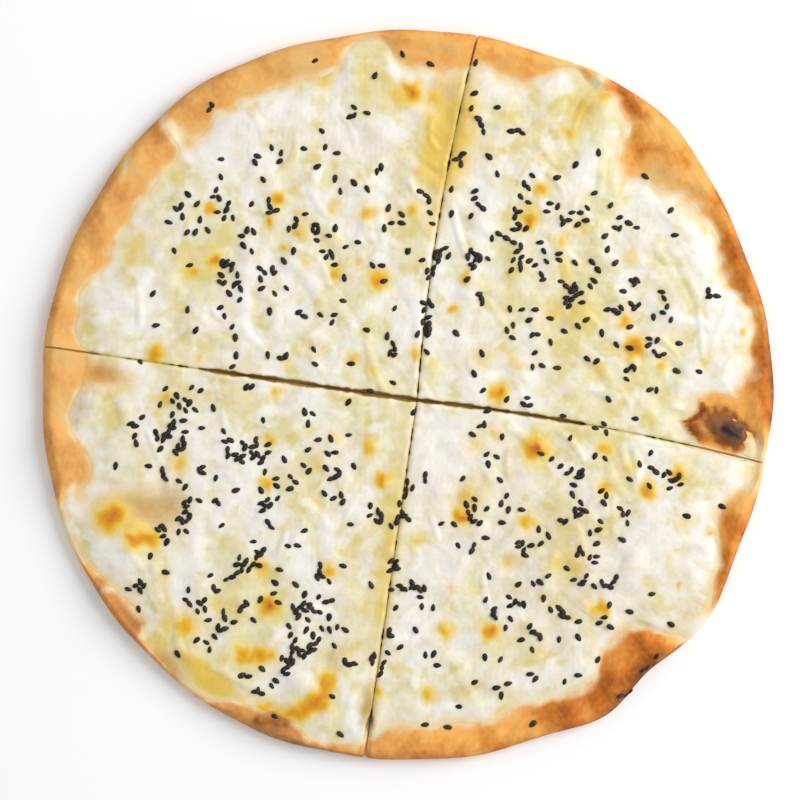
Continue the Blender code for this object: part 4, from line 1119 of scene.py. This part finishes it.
def bread_piece(name, plan):
    """One slice of baked dough: top, rounded rim, cut sides and toasted underside."""
    piece = quarter_grid("dough_" + name, plan, BREAD_ROWS, 0.0, crowded_to_rim)
    select_only(piece)
    wall = piece.modifiers.new("thickness", "SOLIDIFY")
    wall.thickness = 2 * MM
    wall.offset = -1
    bpy.ops.object.modifier_apply(modifier=wall.name)
    places = coordinates(piece)
    half = len(places) // 2
    x, y, _ = to_plan(places[:half])
    top, underside = bread_top(x, y), bread_underside(x, y)
    upper = to_metres(*plan.set_out(x, y, TOP_SET_OUT), top)
    lower = to_metres(*plan.set_out(x, y, UNDERSIDE_SET_OUT), underside)
    place_vertices(piece, np.vstack((upper, lower)))
    _, inset, _ = at_rim(x, y)
    cover = cheese_cover(x, y)
    rim = baked_depth(x, y)
    toasted = np.clip(TOASTING + grains(x, y, TOAST_CLOUDS), 0.08, 0.9)
    under = np.where(inset > UNDERSIDE_ROUNDING[-1], toasted, rim * 0.9)
    scorched = 0.5 * smooth(grains(x, y, SCORCH_CLOUDS), 0.7, 1.4)
    bare = np.zeros_like(x)
    keep(piece, "baked", np.concatenate((rim, under)))
    keep(piece, "charred", np.concatenate((char_depth(x, y), scorched)))
    keep(piece, "cream", np.concatenate((cream_at(x, y), bare)))
    # Darker dough under the cheese, seen only down the cuts: its moist colour and painted seam shade
    keep(piece, "moist_and_seam_shade", np.concatenate((smooth(cover, 3.5, 6.5), bare)))
    bulge_cut_sides(piece, plan, half, (plan.from_sides(x, y) < 0.01) & (inset > 0.3))

    with edit_mode():
        bpy.ops.mesh.select_mode(type="VERT")
        bpy.ops.mesh.select_all(action="SELECT")
        bpy.ops.mesh.remove_doubles(threshold=WELD)
        bpy.ops.mesh.normals_make_consistent(inside=False)
    bpy.ops.object.shade_smooth_by_angle(angle=math.radians(50))
    piece.data.materials.append(crust_finish())
    piece.data.materials.append(crumb_finish())
    faces = piece.data.polygons
    cx, cy, _ = to_plan(read(faces, "center", 3))
    upright = np.abs(read(faces, "normal", 3)[:, 2]) < 0.2
    cut = upright & (plan.from_sides(cx, cy) < 0.1)
    faces.foreach_set("material_index", cut.astype(np.int32))
    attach(piece, "root")
    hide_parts("bread_" + name)


# ---------------------------------------------------------------- cheese


def rounding_at_cut(side):
    """How far the cheese's top sinks towards a cut."""
    return CUT_SINK * np.exp(-(side / CUT_SINK_REACH) ** 1.5)


def cheese_piece(name, plan):
    """The melted cheese of one slice, down to where it meets the dough."""
    piece = quarter_grid("melted_" + name, plan, CHEESE_ROWS, CHEESE_INSET, even)
    x, y, _ = to_plan(coordinates(piece))
    side = np.maximum(plan.from_sides(x, y), 0)
    strands = Strands(x, y)
    height = cheese_top(x, y, strands) - rounding_at_cut(side)
    depth, halo = browning_at(x, y)
    tones = {
        "browned": depth,
        "halo": halo,
        "tone": strands.tones(),
        "yellow": strongest(x, y, YELLOWED, YELLOW_FALL),
        "curd": strongest(x, y, CURD, CURD_FALL),
        "dulled": strongest(x, y, DULLED, DULL_FALL),
        "cream": cream_at(x, y),
        "baked": baked_depth(x, y),
        # Painted seam shade: the cheese turns darker and yellower near each cut
        "cut": np.exp(-side / CUT_SEAM_SHADE_REACH),
    }
    for tone, values in tones.items():
        keep(piece, tone, values)
    place_vertices(piece, to_metres(*plan.draw_back(x, y), height))

    select_only(piece)
    select_vertices(piece, cheese_cover(x, y) < -TRIM_BEYOND)
    with edit_mode():
        bpy.ops.mesh.delete(type="VERT")
    keep_largest_island(piece)

    with edit_mode():
        bpy.ops.mesh.select_mode(type="EDGE")
        bpy.ops.mesh.select_all(action="DESELECT")
        bpy.ops.mesh.select_non_manifold()
        bpy.ops.mesh.extrude_edges_move()
    foot = selected_vertices(piece)
    places = coordinates(piece)
    base = bpy.context.scene.manakish_dough.thickness - FOOT_DEPTH * MM
    places[foot, 2] = np.minimum(base, places[foot, 2] - FOOT_LEAST * MM)
    place_vertices(piece, places)
    with edit_mode():
        bpy.ops.mesh.fill(use_beauty=False)
        bpy.ops.mesh.select_all(action="SELECT")
        bpy.ops.mesh.normals_make_consistent(inside=False)
        bpy.ops.mesh.select_mode(type="VERT")
    bpy.ops.object.shade_smooth_by_angle(angle=math.radians(60))
    piece.data.materials.append(cheese_finish())
    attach(piece, "root")
    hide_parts("cheese_" + name)


# ---------------------------------------------------------------- sesame


def off_the_cuts(x, y):
    """Move seeds that lie on a cut onto the nearer slice, and say how far inside it they are."""
    plans = [Slice(*arms) for arms in SLICES.values()]
    depths = np.array([plan.from_sides(x, y) for plan in plans])
    for plan, own in zip(plans, depths == depths.max(axis=0)):
        for _, out, _, inside in plan.sides(x, y):
            back = np.where(own, np.maximum(SEED_INSIDE - inside, 0), 0)
            x, y = x - back * out[0], y - back * out[1]
    return x, y, np.maximum(depths.max(axis=0), SEED_INSIDE)


def one_seed():
    """A flattened drop, long in X, pointed at one end."""
    sesame = bpy.context.scene.manakish_sesame
    bpy.ops.object.select_all(action="DESELECT")
    bpy.ops.mesh.primitive_uv_sphere_add(
        segments=8, ring_count=7, radius=0.5, rotation=(0, math.pi / 2, 0)
    )
    seed = bpy.context.object
    bpy.ops.object.transform_apply(location=False, rotation=True, scale=False)
    drop = coordinates(seed)
    drop[:, 1:] *= 1.08 - 0.38 * (drop[:, :1] + 0.5) ** 1.8
    drop *= (sesame.length, sesame.width, sesame.height)
    faces = [tuple(face.vertices) for face in seed.data.polygons]
    bpy.data.objects.remove(seed, do_unlink=True)
    return drop, faces


def sesame_piece():
    """All the sesame, each seed pressed into the cheese where it lies."""
    x, y, headings = np.array(SEEDS, dtype=float).T
    x, y, side = off_the_cuts(x, y)

    def surface(px, py):
        return np.maximum(cheese_top(px, py, Strands(px, py)), bread_top(px, py))

    height = surface(x, y) - rounding_at_cut(side)
    step = SLOPE_STEP
    slope_x = (surface(x + step, y) - surface(x - step, y)) / (2 * step)
    slope_y = (surface(x, y + step) - surface(x, y - step)) / (2 * step)
    drop, faces = one_seed()
    chance = np.random.default_rng(SESAME_SEED)
    vertices, all_faces, shades = [], [], []
    for at in range(len(x)):
        upward = Vector((-slope_x[at], -slope_y[at], 1)).normalized()
        turn = math.radians(headings[at] + chance.normal(0, 6) + 180 * (chance.uniform() < 0.5))
        heading = Vector((math.cos(turn), math.sin(turn), chance.normal(0, 0.10)))
        heading = heading - heading.dot(upward) * upward + upward * chance.normal(0, 0.08)
        heading = heading.normalized()
        sideways = upward.cross(heading).normalized()
        axes = np.array((heading, sideways, heading.cross(sideways)))
        crowd = np.sum(np.hypot(x[:at] - x[at], y[:at] - y[at]) < CROWD_REACH)
        lift = SEED_LIFT + CROWD_LIFT * min(crowd, 2)
        middle = to_metres(x[at:at + 1], y[at:at + 1], height[at:at + 1] + lift)[0]
        growth = chance.uniform(0.86, 1.12) * np.array((1, chance.uniform(0.9, 1.1), 1))
        vertices.append((drop * growth) @ axes + middle)
        all_faces.extend(tuple(corner + at * len(drop) for corner in face) for face in faces)
        shades.append(np.full(len(drop), chance.uniform(0, 1)))
    mesh = bpy.data.meshes.new("sesame")
    mesh.from_pydata(np.vstack(vertices), [], all_faces)
    piece = bpy.data.objects.new("sesame", mesh)
    bpy.context.scene.collection.objects.link(piece)
    keep(piece, "shade", np.concatenate(shades))
    select_only(piece)
    bpy.ops.object.shade_smooth()
    mesh.materials.append(sesame_finish())
    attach(piece, "root")
    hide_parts(*("cheese_" + name for name in SLICES))


# ---------------------------------------------------------------- finishes


class Finish:
    """A material whose nodes are added by short calls."""

    def __init__(self, name):
        self.material = bpy.data.materials.new(name)
        self.material.use_nodes = True
        self.tree = self.material.node_tree
        self.shader = self.tree.nodes["Principled BSDF"]
        self.object_place = self.add("ShaderNodeTexCoord").outputs["Object"]

    def add(self, kind, **settings):
        """A new node with some of its settings."""
        made = self.tree.nodes.new(kind)
        for setting, value in settings.items():
            setattr(made, setting, value)
        return made

    def feed(self, socket, value):
        """Set a socket to a number or colour, or link it to an output."""
        if isinstance(value, bpy.types.NodeSocket):
            self.tree.links.new(value, socket)
        else:
            socket.default_value = value

    def stored(self, name):
        """The number that the mesh keeps under a name."""
        return self.add("ShaderNodeAttribute", attribute_name=name).outputs["Fac"]

    def noise(self, size, detail=3.0, roughness=0.55, stretch=None):
        """Cloudy noise, about 0.5, with features of a size in metres."""
        made = self.add("ShaderNodeTexNoise")
        place = self.object_place
        if stretch:
            mapping = self.add("ShaderNodeMapping")
            mapping.inputs["Scale"].default_value = stretch
            self.feed(mapping.inputs["Vector"], place)
            place = mapping.outputs["Vector"]
        self.feed(made.inputs["Vector"], place)
        made.inputs["Scale"].default_value = 1 / size
        made.inputs["Detail"].default_value = detail
        made.inputs["Roughness"].default_value = roughness
        return made.outputs["Fac"]

    def centred(self, *noise):
        """Cloudy noise about 0."""
        return self.sum("SUBTRACT", self.noise(*noise), 0.5)

    def sum(self, operation, first, second):
        """Two numbers added, subtracted or multiplied."""
        made = self.add("ShaderNodeMath", operation=operation)
        self.feed(made.inputs[0], first)
        self.feed(made.inputs[1], second)
        return made.outputs[0]

    def plus(self, value, other, times):
        """A value with some times another one added."""
        return self.sum("ADD", value, self.sum("MULTIPLY", other, times))

    def spread(self, value, low, high, to_low=0.0, to_high=1.0):
        """Map a range smoothly onto another, held at both ends."""
        made = self.add("ShaderNodeMapRange", interpolation_type="SMOOTHSTEP")
        for at, number in enumerate((value, low, high, to_low, to_high)):
            self.feed(made.inputs[at], number)
        return made.outputs[0]

    def blend(self, share, first, second):
        """The first colour at share 0, the second at 1."""
        made = self.add("ShaderNodeMix", data_type="RGBA")
        self.feed(made.inputs["Factor"], share)
        self.feed(made.inputs[6], first)
        self.feed(made.inputs[7], second)
        return made.outputs[2]

    def tint(self, colour, value, low, high, new, most=1.0):
        """A colour that turns into a new one as a value rises from low to high."""
        return self.blend(self.spread(value, low, high, 0.0, most), colour, new)

    def ramp(self, value, stops):
        """Colours that follow one another as a value rises."""
        made = self.add("ShaderNodeValToRGB")
        elements = made.color_ramp.elements
        while len(elements) < len(stops):
            elements.new(0.5)
        for element, (place, colour) in zip(elements, stops):
            element.position = place
            element.color = colour
        self.feed(made.inputs["Fac"], value)
        return made.outputs["Color"]

    def bump(self, height, depth, strength=1.0, below=None):
        """Fine relief on top of any relief below it."""
        made = self.add("ShaderNodeBump")
        made.inputs["Distance"].default_value = depth
        made.inputs["Strength"].default_value = strength
        self.feed(made.inputs["Height"], height)
        if below:
            self.feed(made.inputs["Normal"], below)
        return made.outputs["Normal"]

    def finish(self, colour, roughness, normal=None, **constants):
        """The material, its shader fed and its constants set."""
        self.feed(self.shader.inputs["Base Color"], colour)
        self.feed(self.shader.inputs["Roughness"], roughness)
        if normal:
            self.feed(self.shader.inputs["Normal"], normal)
        for name, value in constants.items():
            self.shader.inputs[name.replace("_", " ")].default_value = value
        return self.material


def screen(red, green, blue):
    """Scene-linear colour from a colour as it looks on a screen, 0 to 255."""
    def linear(level):
        level /= 255
        return level / 12.92 if level <= 0.04045 else ((level + 0.055) / 1.055) ** 2.4
    return (linear(red), linear(green), linear(blue), 1.0)


# Colours that the settings don't hold
LIGHTLY_BAKED = screen(232, 191, 122)
DEEPLY_BAKED = screen(160, 86, 26)
DARKEST_BAKED = screen(92, 42, 18)
DULLER_DOUGH = screen(204, 174, 116)
OIL_SOAKED = screen(236, 211, 164)
THIN_CHEESE = screen(234, 227, 204)
# Dough under the cheese: its own moist colour, darkened further as painted seam shade
MOIST_DOUGH_AND_SEAM_SHADE = screen(156, 116, 54)
SINGED = screen(138, 78, 26)
ASHY = screen(126, 88, 66)
# Painted shade in the pores of the cut crumb
CRUMB_PORE_SHADE = screen(142, 104, 48)
CRUMB = screen(192, 152, 84)
CREAMY = screen(236, 221, 196)
DULL_CHEESE = screen(184, 146, 62)
HALO = screen(234, 210, 118)
GOLD = screen(230, 198, 84)
SCORCHED = screen(214, 138, 10)
BURNT = screen(150, 76, 10)
# Painted seam shade on the cheese along the cuts
CUT_SEAM_SHADE = screen(196, 172, 84)
FLOOR_GREYS = (screen(250, 250, 250), screen(253, 253, 253))

# Blotches of the baked dough: size, detail, roughness
MOTTLE = (2.6 * MM, 5.0, 0.62)


def dough_colour(made, mottle):
    """Colour of the dough from how deeply it is baked."""
    dough = bpy.context.scene.manakish_dough
    colour = made.ramp(
        made.plus(made.stored("baked"), mottle, 0.20),
        (
            (0.08, tuple(dough.pale)),
            (0.32, LIGHTLY_BAKED),
            (0.52, tuple(dough.tan)),
            (0.72, tuple(dough.browned)),
            (0.86, DEEPLY_BAKED),
            (1.0, DARKEST_BAKED),
        ),
    )
    flour = made.noise(0.9 * MM, 3.0, 0.6)
    colour = made.tint(colour, flour, 0.56, 0.72, tuple(dough.pale), 0.08)
    # Duller towards the left (-X) side of the round
    axes = made.add("ShaderNodeSeparateXYZ")
    made.feed(axes.inputs[0], made.object_place)
    return made.tint(colour, axes.outputs["X"], 30 * MM, -50 * MM, DULLER_DOUGH, 0.28)


def across_edge(made, mottle, dough, cheese):
    """Colour across the edge of the cheese: dough, then oil-soaked crust, then cheese."""
    cream = made.plus(made.stored("cream"), mottle, 0.5)
    soaked = made.tint(dough, cream, 0.05, 0.6, OIL_SOAKED)
    return made.tint(soaked, cream, 0.45, 0.98, cheese)


def crust_finish():
    """Baked dough: pale to tan to deep brown, with floury grain, blistered and matt."""
    if "baked dough" in bpy.data.materials:
        return bpy.data.materials["baked dough"]
    dough = bpy.context.scene.manakish_dough
    made = Finish("baked dough")
    mottle = made.centred(*MOTTLE)
    colour = across_edge(made, mottle, dough_colour(made, mottle), THIN_CHEESE)
    # Dough under the cheese: moist colour with painted seam shade
    colour = made.blend(made.stored("moist_and_seam_shade"), colour, MOIST_DOUGH_AND_SEAM_SHADE)
    char = made.plus(made.stored("charred"), mottle, 0.25)
    colour = made.tint(colour, char, 0.02, 0.38, SINGED)
    colour = made.tint(colour, char, 0.28, 0.64, ASHY)
    colour = made.tint(colour, char, 0.54, 1.0, tuple(dough.charred))
    roughness = made.spread(char, 0.3, 0.8, 0.72, 0.50)
    normal = made.bump(made.noise(0.7 * MM, 4.0, 0.65), 0.25 * MM, 0.5)
    normal = made.bump(made.noise(3.5 * MM, 2.0), 0.5 * MM, 0.4, normal)
    return made.finish(colour, roughness, normal, Specular_IOR_Level=0.2)


def crumb_finish():
    """Cut dough: open, oily crumb, with painted shade in its pores."""
    if "cut crumb" in bpy.data.materials:
        return bpy.data.materials["cut crumb"]
    made = Finish("cut crumb")
    pores = made.add("ShaderNodeTexVoronoi")
    made.feed(pores.inputs["Vector"], made.object_place)
    pores.inputs["Scale"].default_value = 1 / (1.3 * MM)
    hollow = made.spread(pores.outputs["Distance"], 0.0, 0.42)
    # The pores are painted darker: painted shade in the crumb's hollows
    colour = made.blend(hollow, CRUMB_PORE_SHADE, CRUMB)
    normal = made.bump(hollow, 0.5 * MM, 0.8)
    return made.finish(colour, 0.75, normal, Specular_IOR_Level=0.3)


def cheese_finish():
    """Melted cheese: white curd and shreds in a yellower melt, with browned marks."""
    if "melted cheese" in bpy.data.materials:
        return bpy.data.materials["melted cheese"]
    cheese = bpy.context.scene.manakish_cheese
    made = Finish("melted cheese")
    cloud = made.centred(6 * MM, 3.0, 0.5)
    fine = made.centred(1.6 * MM, 3.0, 0.6)
    white = made.plus(made.stored("curd"), made.stored("tone"), 0.50)
    white = made.plus(white, cloud, 2.0)
    white = made.plus(white, made.centred(13 * MM, 1.0, 0.4, (1.0, 0.55, 1.0)), 2.6)
    white = made.plus(white, made.centred(2.8 * MM, 2.0, 0.5), 1.1)
    colour = made.tint(tuple(cheese.melt), white, -0.7, 0.65, tuple(cheese.white))
    colour = made.tint(colour, made.noise(4 * MM, 2.0, 0.5), 0.5, 0.7, CREAMY, 0.55)
    oily = made.spread(made.noise(9 * MM, 2.0, 0.5), 0.46, 0.66, 0.0, 0.8)
    oily = made.sum("MULTIPLY", oily, made.spread(white, 0.3, -0.5))
    colour = made.blend(oily, colour, tuple(cheese.oil))
    yellow = made.sum("MULTIPLY", made.stored("yellow"), made.spread(cloud, -0.25, 0.2, 0.55, 1.0))
    colour = made.tint(colour, yellow, 0.05, 0.95, tuple(cheese.yellow), 0.92)
    mottle = made.centred(*MOTTLE)
    colour = across_edge(made, mottle, dough_colour(made, mottle), colour)
    dulled = made.plus(made.stored("dulled"), fine, 0.25)
    colour = made.tint(colour, dulled, 0.05, 0.95, DULL_CHEESE, 0.9)
    halo = made.plus(made.stored("halo"), fine, 0.15)
    colour = made.tint(colour, halo, 0.06, 0.75, HALO, 0.75)
    browned = made.plus(made.stored("browned"), fine, 0.16)
    scorch = made.ramp(
        browned, ((0.26, GOLD), (0.52, tuple(cheese.browned)), (0.76, SCORCHED), (0.94, BURNT))
    )
    colour = made.tint(colour, browned, 0.0, 0.54, scorch)
    # Painted seam shade along each cut
    colour = made.tint(colour, made.stored("cut"), 0.25, 0.9, CUT_SEAM_SHADE, 0.8)
    roughness = made.spread(oily, 0.0, 0.5, 0.46, 0.30)
    normal = made.bump(made.noise(1.1 * MM, 3.0, 0.6), 0.10 * MM, 0.5)
    normal = made.bump(made.noise(4 * MM, 2.0), 0.35 * MM, 0.5, normal)
    return made.finish(
        colour, roughness, normal,
        Specular_IOR_Level=0.45,
        Subsurface_Weight=0.25,
        Subsurface_Radius=(1.0, 0.8, 0.5),
        Subsurface_Scale=1.2 * MM,
    )


def sesame_finish():
    """Black sesame: dark husk, some seeds browner, faintly ribbed and a little shiny."""
    sesame = bpy.context.scene.manakish_sesame
    made = Finish("black sesame")
    shade = made.sum("ADD", made.stored("shade"), made.centred(0.8 * MM))
    colour = made.tint(tuple(sesame.husk), shade, 0.3, 1.3, tuple(sesame.brown_husk))
    normal = made.bump(made.noise(0.35 * MM, 3.0, 0.6), 0.06 * MM, 0.5)
    return made.finish(colour, 0.5, normal, Specular_IOR_Level=0.35)


def floor_finish():
    """Pale, even floor."""
    made = Finish("pale floor")
    colour = made.blend(made.noise(0.4, 2.0), *FLOOR_GREYS)
    return made.finish(colour, 0.9, Specular_IOR_Level=0.1)


# ---------------------------------------------------------------- sizes and colours


# How the panel shows lengths and colours
LENGTH = {"unit": "LENGTH"}
COLOUR = {"subtype": "COLOR", "size": 4}


class DoughSettings(bpy.types.PropertyGroup):
    """Sizes and colours of the baked dough."""

    thickness: FloatProperty(
        name="Thickness", description="Dough under the cheese",
        default=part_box("cheese_sw")[0].z - 0.3 * MM, **LENGTH,
    )
    rim_rise: FloatProperty(
        name="Rim rise", description="Height of a broad bare rim above the rest",
        default=3.0 * MM, **LENGTH,
    )
    edge_height: FloatProperty(
        name="Edge height", description="Height of the outermost line of the rim",
        default=2.4 * MM, **LENGTH,
    )
    pale: FloatVectorProperty(
        name="Pale", description="Dough that hardly browned", default=screen(238, 222, 184), **COLOUR
    )
    tan: FloatVectorProperty(
        name="Tan", description="Lightly baked crust", default=screen(240, 172, 86), **COLOUR
    )
    browned: FloatVectorProperty(
        name="Browned", description="Deeply baked crust", default=screen(206, 120, 40), **COLOUR
    )
    charred: FloatVectorProperty(
        name="Charred", description="Burnt crust", default=screen(54, 34, 30), **COLOUR
    )


class CheeseSettings(bpy.types.PropertyGroup):
    """Sizes and colours of the melted cheese."""

    thickness: FloatProperty(
        name="Thickness", description="Cheese over the dough", default=1.7 * MM, **LENGTH
    )
    strands: IntProperty(
        name="Strands", description="Half-melted shreds that still show", default=420, min=0
    )
    white: FloatVectorProperty(
        name="White", description="Thick white curd", default=screen(239, 235, 226), **COLOUR
    )
    melt: FloatVectorProperty(
        name="Melt", description="Melted cheese between the curds",
        default=screen(225, 215, 166), **COLOUR,
    )
    oil: FloatVectorProperty(
        name="Oil", description="Thin, oily cheese", default=screen(220, 203, 124), **COLOUR
    )
    yellow: FloatVectorProperty(
        name="Yellow", description="Fields of yellow cheese", default=screen(226, 192, 66), **COLOUR
    )
    browned: FloatVectorProperty(
        name="Browned", description="Browned marks", default=screen(230, 176, 24), **COLOUR
    )


class SesameSettings(bpy.types.PropertyGroup):
    """Size and colours of the sesame."""

    length: FloatProperty(name="Length", description="Of a seed", default=2.95 * MM, **LENGTH)
    width: FloatProperty(name="Width", description="Of a seed", default=1.8 * MM, **LENGTH)
    height: FloatProperty(name="Height", description="Of a seed", default=1.0 * MM, **LENGTH)
    husk: FloatVectorProperty(
        name="Husk", description="Most seeds", default=screen(28, 20, 17), **COLOUR
    )
    brown_husk: FloatVectorProperty(
        name="Brown husk", description="The brownest seeds", default=screen(60, 42, 26), **COLOUR
    )


class StageSettings(bpy.types.PropertyGroup):
    """Light and view."""

    view_width: FloatProperty(
        name="View width", description="Width that the camera takes in at the cheese",
        default=283.8 * MM, **LENGTH,
    )
    lens: FloatProperty(name="Lens", description="Focal length in mm", default=120.0)
    key: FloatProperty(
        name="Key", description="Strength of the main light", default=24.0, unit="POWER"
    )
    surround: FloatProperty(
        name="Surround", description="Strength of the light all round", default=0.62
    )


# ---------------------------------------------------------------- operators


class MANAKISH_OT_dough(bpy.types.Operator):
    """Make the four slices of baked dough"""

    bl_idname = "manakish.dough"
    bl_label = "Baked dough"

    def execute(self, context):
        for name, arms in SLICES.items():
            bread_piece(name, Slice(*arms))
        return {"FINISHED"}


class MANAKISH_OT_cheese(bpy.types.Operator):
    """Make the melted cheese on each slice"""

    bl_idname = "manakish.cheese"
    bl_label = "Melted cheese"

    def execute(self, context):
        for name, arms in SLICES.items():
            cheese_piece(name, Slice(*arms))
        return {"FINISHED"}


class MANAKISH_OT_sesame(bpy.types.Operator):
    """Place the black sesame, seed by seed"""

    bl_idname = "manakish.sesame"
    bl_label = "Sesame"

    def execute(self, context):
        sesame_piece()
        return {"FINISHED"}


class MANAKISH_OT_stage(bpy.types.Operator):
    """Set up the floor, the lights and the camera above"""

    bl_idname = "manakish.stage"
    bl_label = "Stage"

    def execute(self, context):
        settings = context.scene.manakish_stage
        low, _ = CAD_BOX
        bpy.ops.object.select_all(action="DESELECT")
        bpy.ops.mesh.primitive_plane_add(size=FLOOR_SIZE, location=(0, 0, low.z))
        floor = context.object
        floor.name = "floor"
        floor.data.materials.append(floor_finish())

        key = bpy.data.objects.new("key", bpy.data.lights.new("key", "AREA"))
        key.data.energy = settings.key
        key.data.size = KEY_SIZE
        key.location = KEY_PLACE
        key.rotation_euler = (-key.location).to_track_quat("-Z", "Y").to_euler()
        context.scene.collection.objects.link(key)

        world = bpy.data.worlds.new("surround")
        world.use_nodes = True
        background = world.node_tree.nodes["Background"]
        background.inputs["Color"].default_value = (1.0, 1.0, 1.0, 1.0)
        background.inputs["Strength"].default_value = settings.surround
        context.scene.world = world

        eye = bpy.data.cameras.new("eye")
        eye.lens = settings.lens
        eye.sensor_width = SENSOR_WIDTH
        camera = bpy.data.objects.new("eye", eye)
        away = settings.view_width * settings.lens / eye.sensor_width
        camera.location = (
            (VIEW_MIDDLE[0] - MIDDLE[0]) * MM,
            (VIEW_MIDDLE[1] - MIDDLE[1]) * MM,
            low.z + VIEW_HEIGHT * MM + away,
        )
        context.scene.collection.objects.link(camera)
        context.scene.camera = camera
        context.scene.view_settings.view_transform = "Standard"
        return {"FINISHED"}


class MANAKISH_PT_sidebar(bpy.types.Panel):
    """Steps of the manakish"""

    bl_idname = "MANAKISH_PT_sidebar"
    bl_label = "Manakish"
    bl_space_type = "VIEW_3D"
    bl_region_type = "UI"
    bl_category = "Manakish"

    def draw(self, context):
        for step in ("dough", "cheese", "sesame", "stage"):
            self.layout.operator("manakish." + step)
            group = getattr(context.scene, "manakish_" + step)
            for name in group.bl_rna.properties.keys():
                if name not in ("rna_type", "name"):
                    self.layout.prop(group, name)


# Names of the settings in the scene, and the steps of the panel
SETTINGS = {
    "manakish_dough": DoughSettings,
    "manakish_cheese": CheeseSettings,
    "manakish_sesame": SesameSettings,
    "manakish_stage": StageSettings,
}
OPERATORS = (MANAKISH_OT_dough, MANAKISH_OT_cheese, MANAKISH_OT_sesame, MANAKISH_OT_stage)


def register():
    """Add the settings, the steps and the panel."""
    for name, group in SETTINGS.items():
        bpy.utils.register_class(group)
        setattr(bpy.types.Scene, name, PointerProperty(type=group))
    for made in (*OPERATORS, MANAKISH_PT_sidebar):
        bpy.utils.register_class(made)


def unregister():
    """Take the panel, the steps and the settings away."""
    for made in reversed((*OPERATORS, MANAKISH_PT_sidebar)):
        bpy.utils.unregister_class(made)
    for name, group in SETTINGS.items():
        delattr(bpy.types.Scene, name)
        bpy.utils.unregister_class(group)


def main():
    """Make every piece."""
    register()
    for step in ("stage", "dough", "cheese", "sesame"):
        getattr(bpy.ops.manakish, step)()


if __name__ == "__main__":
    main()
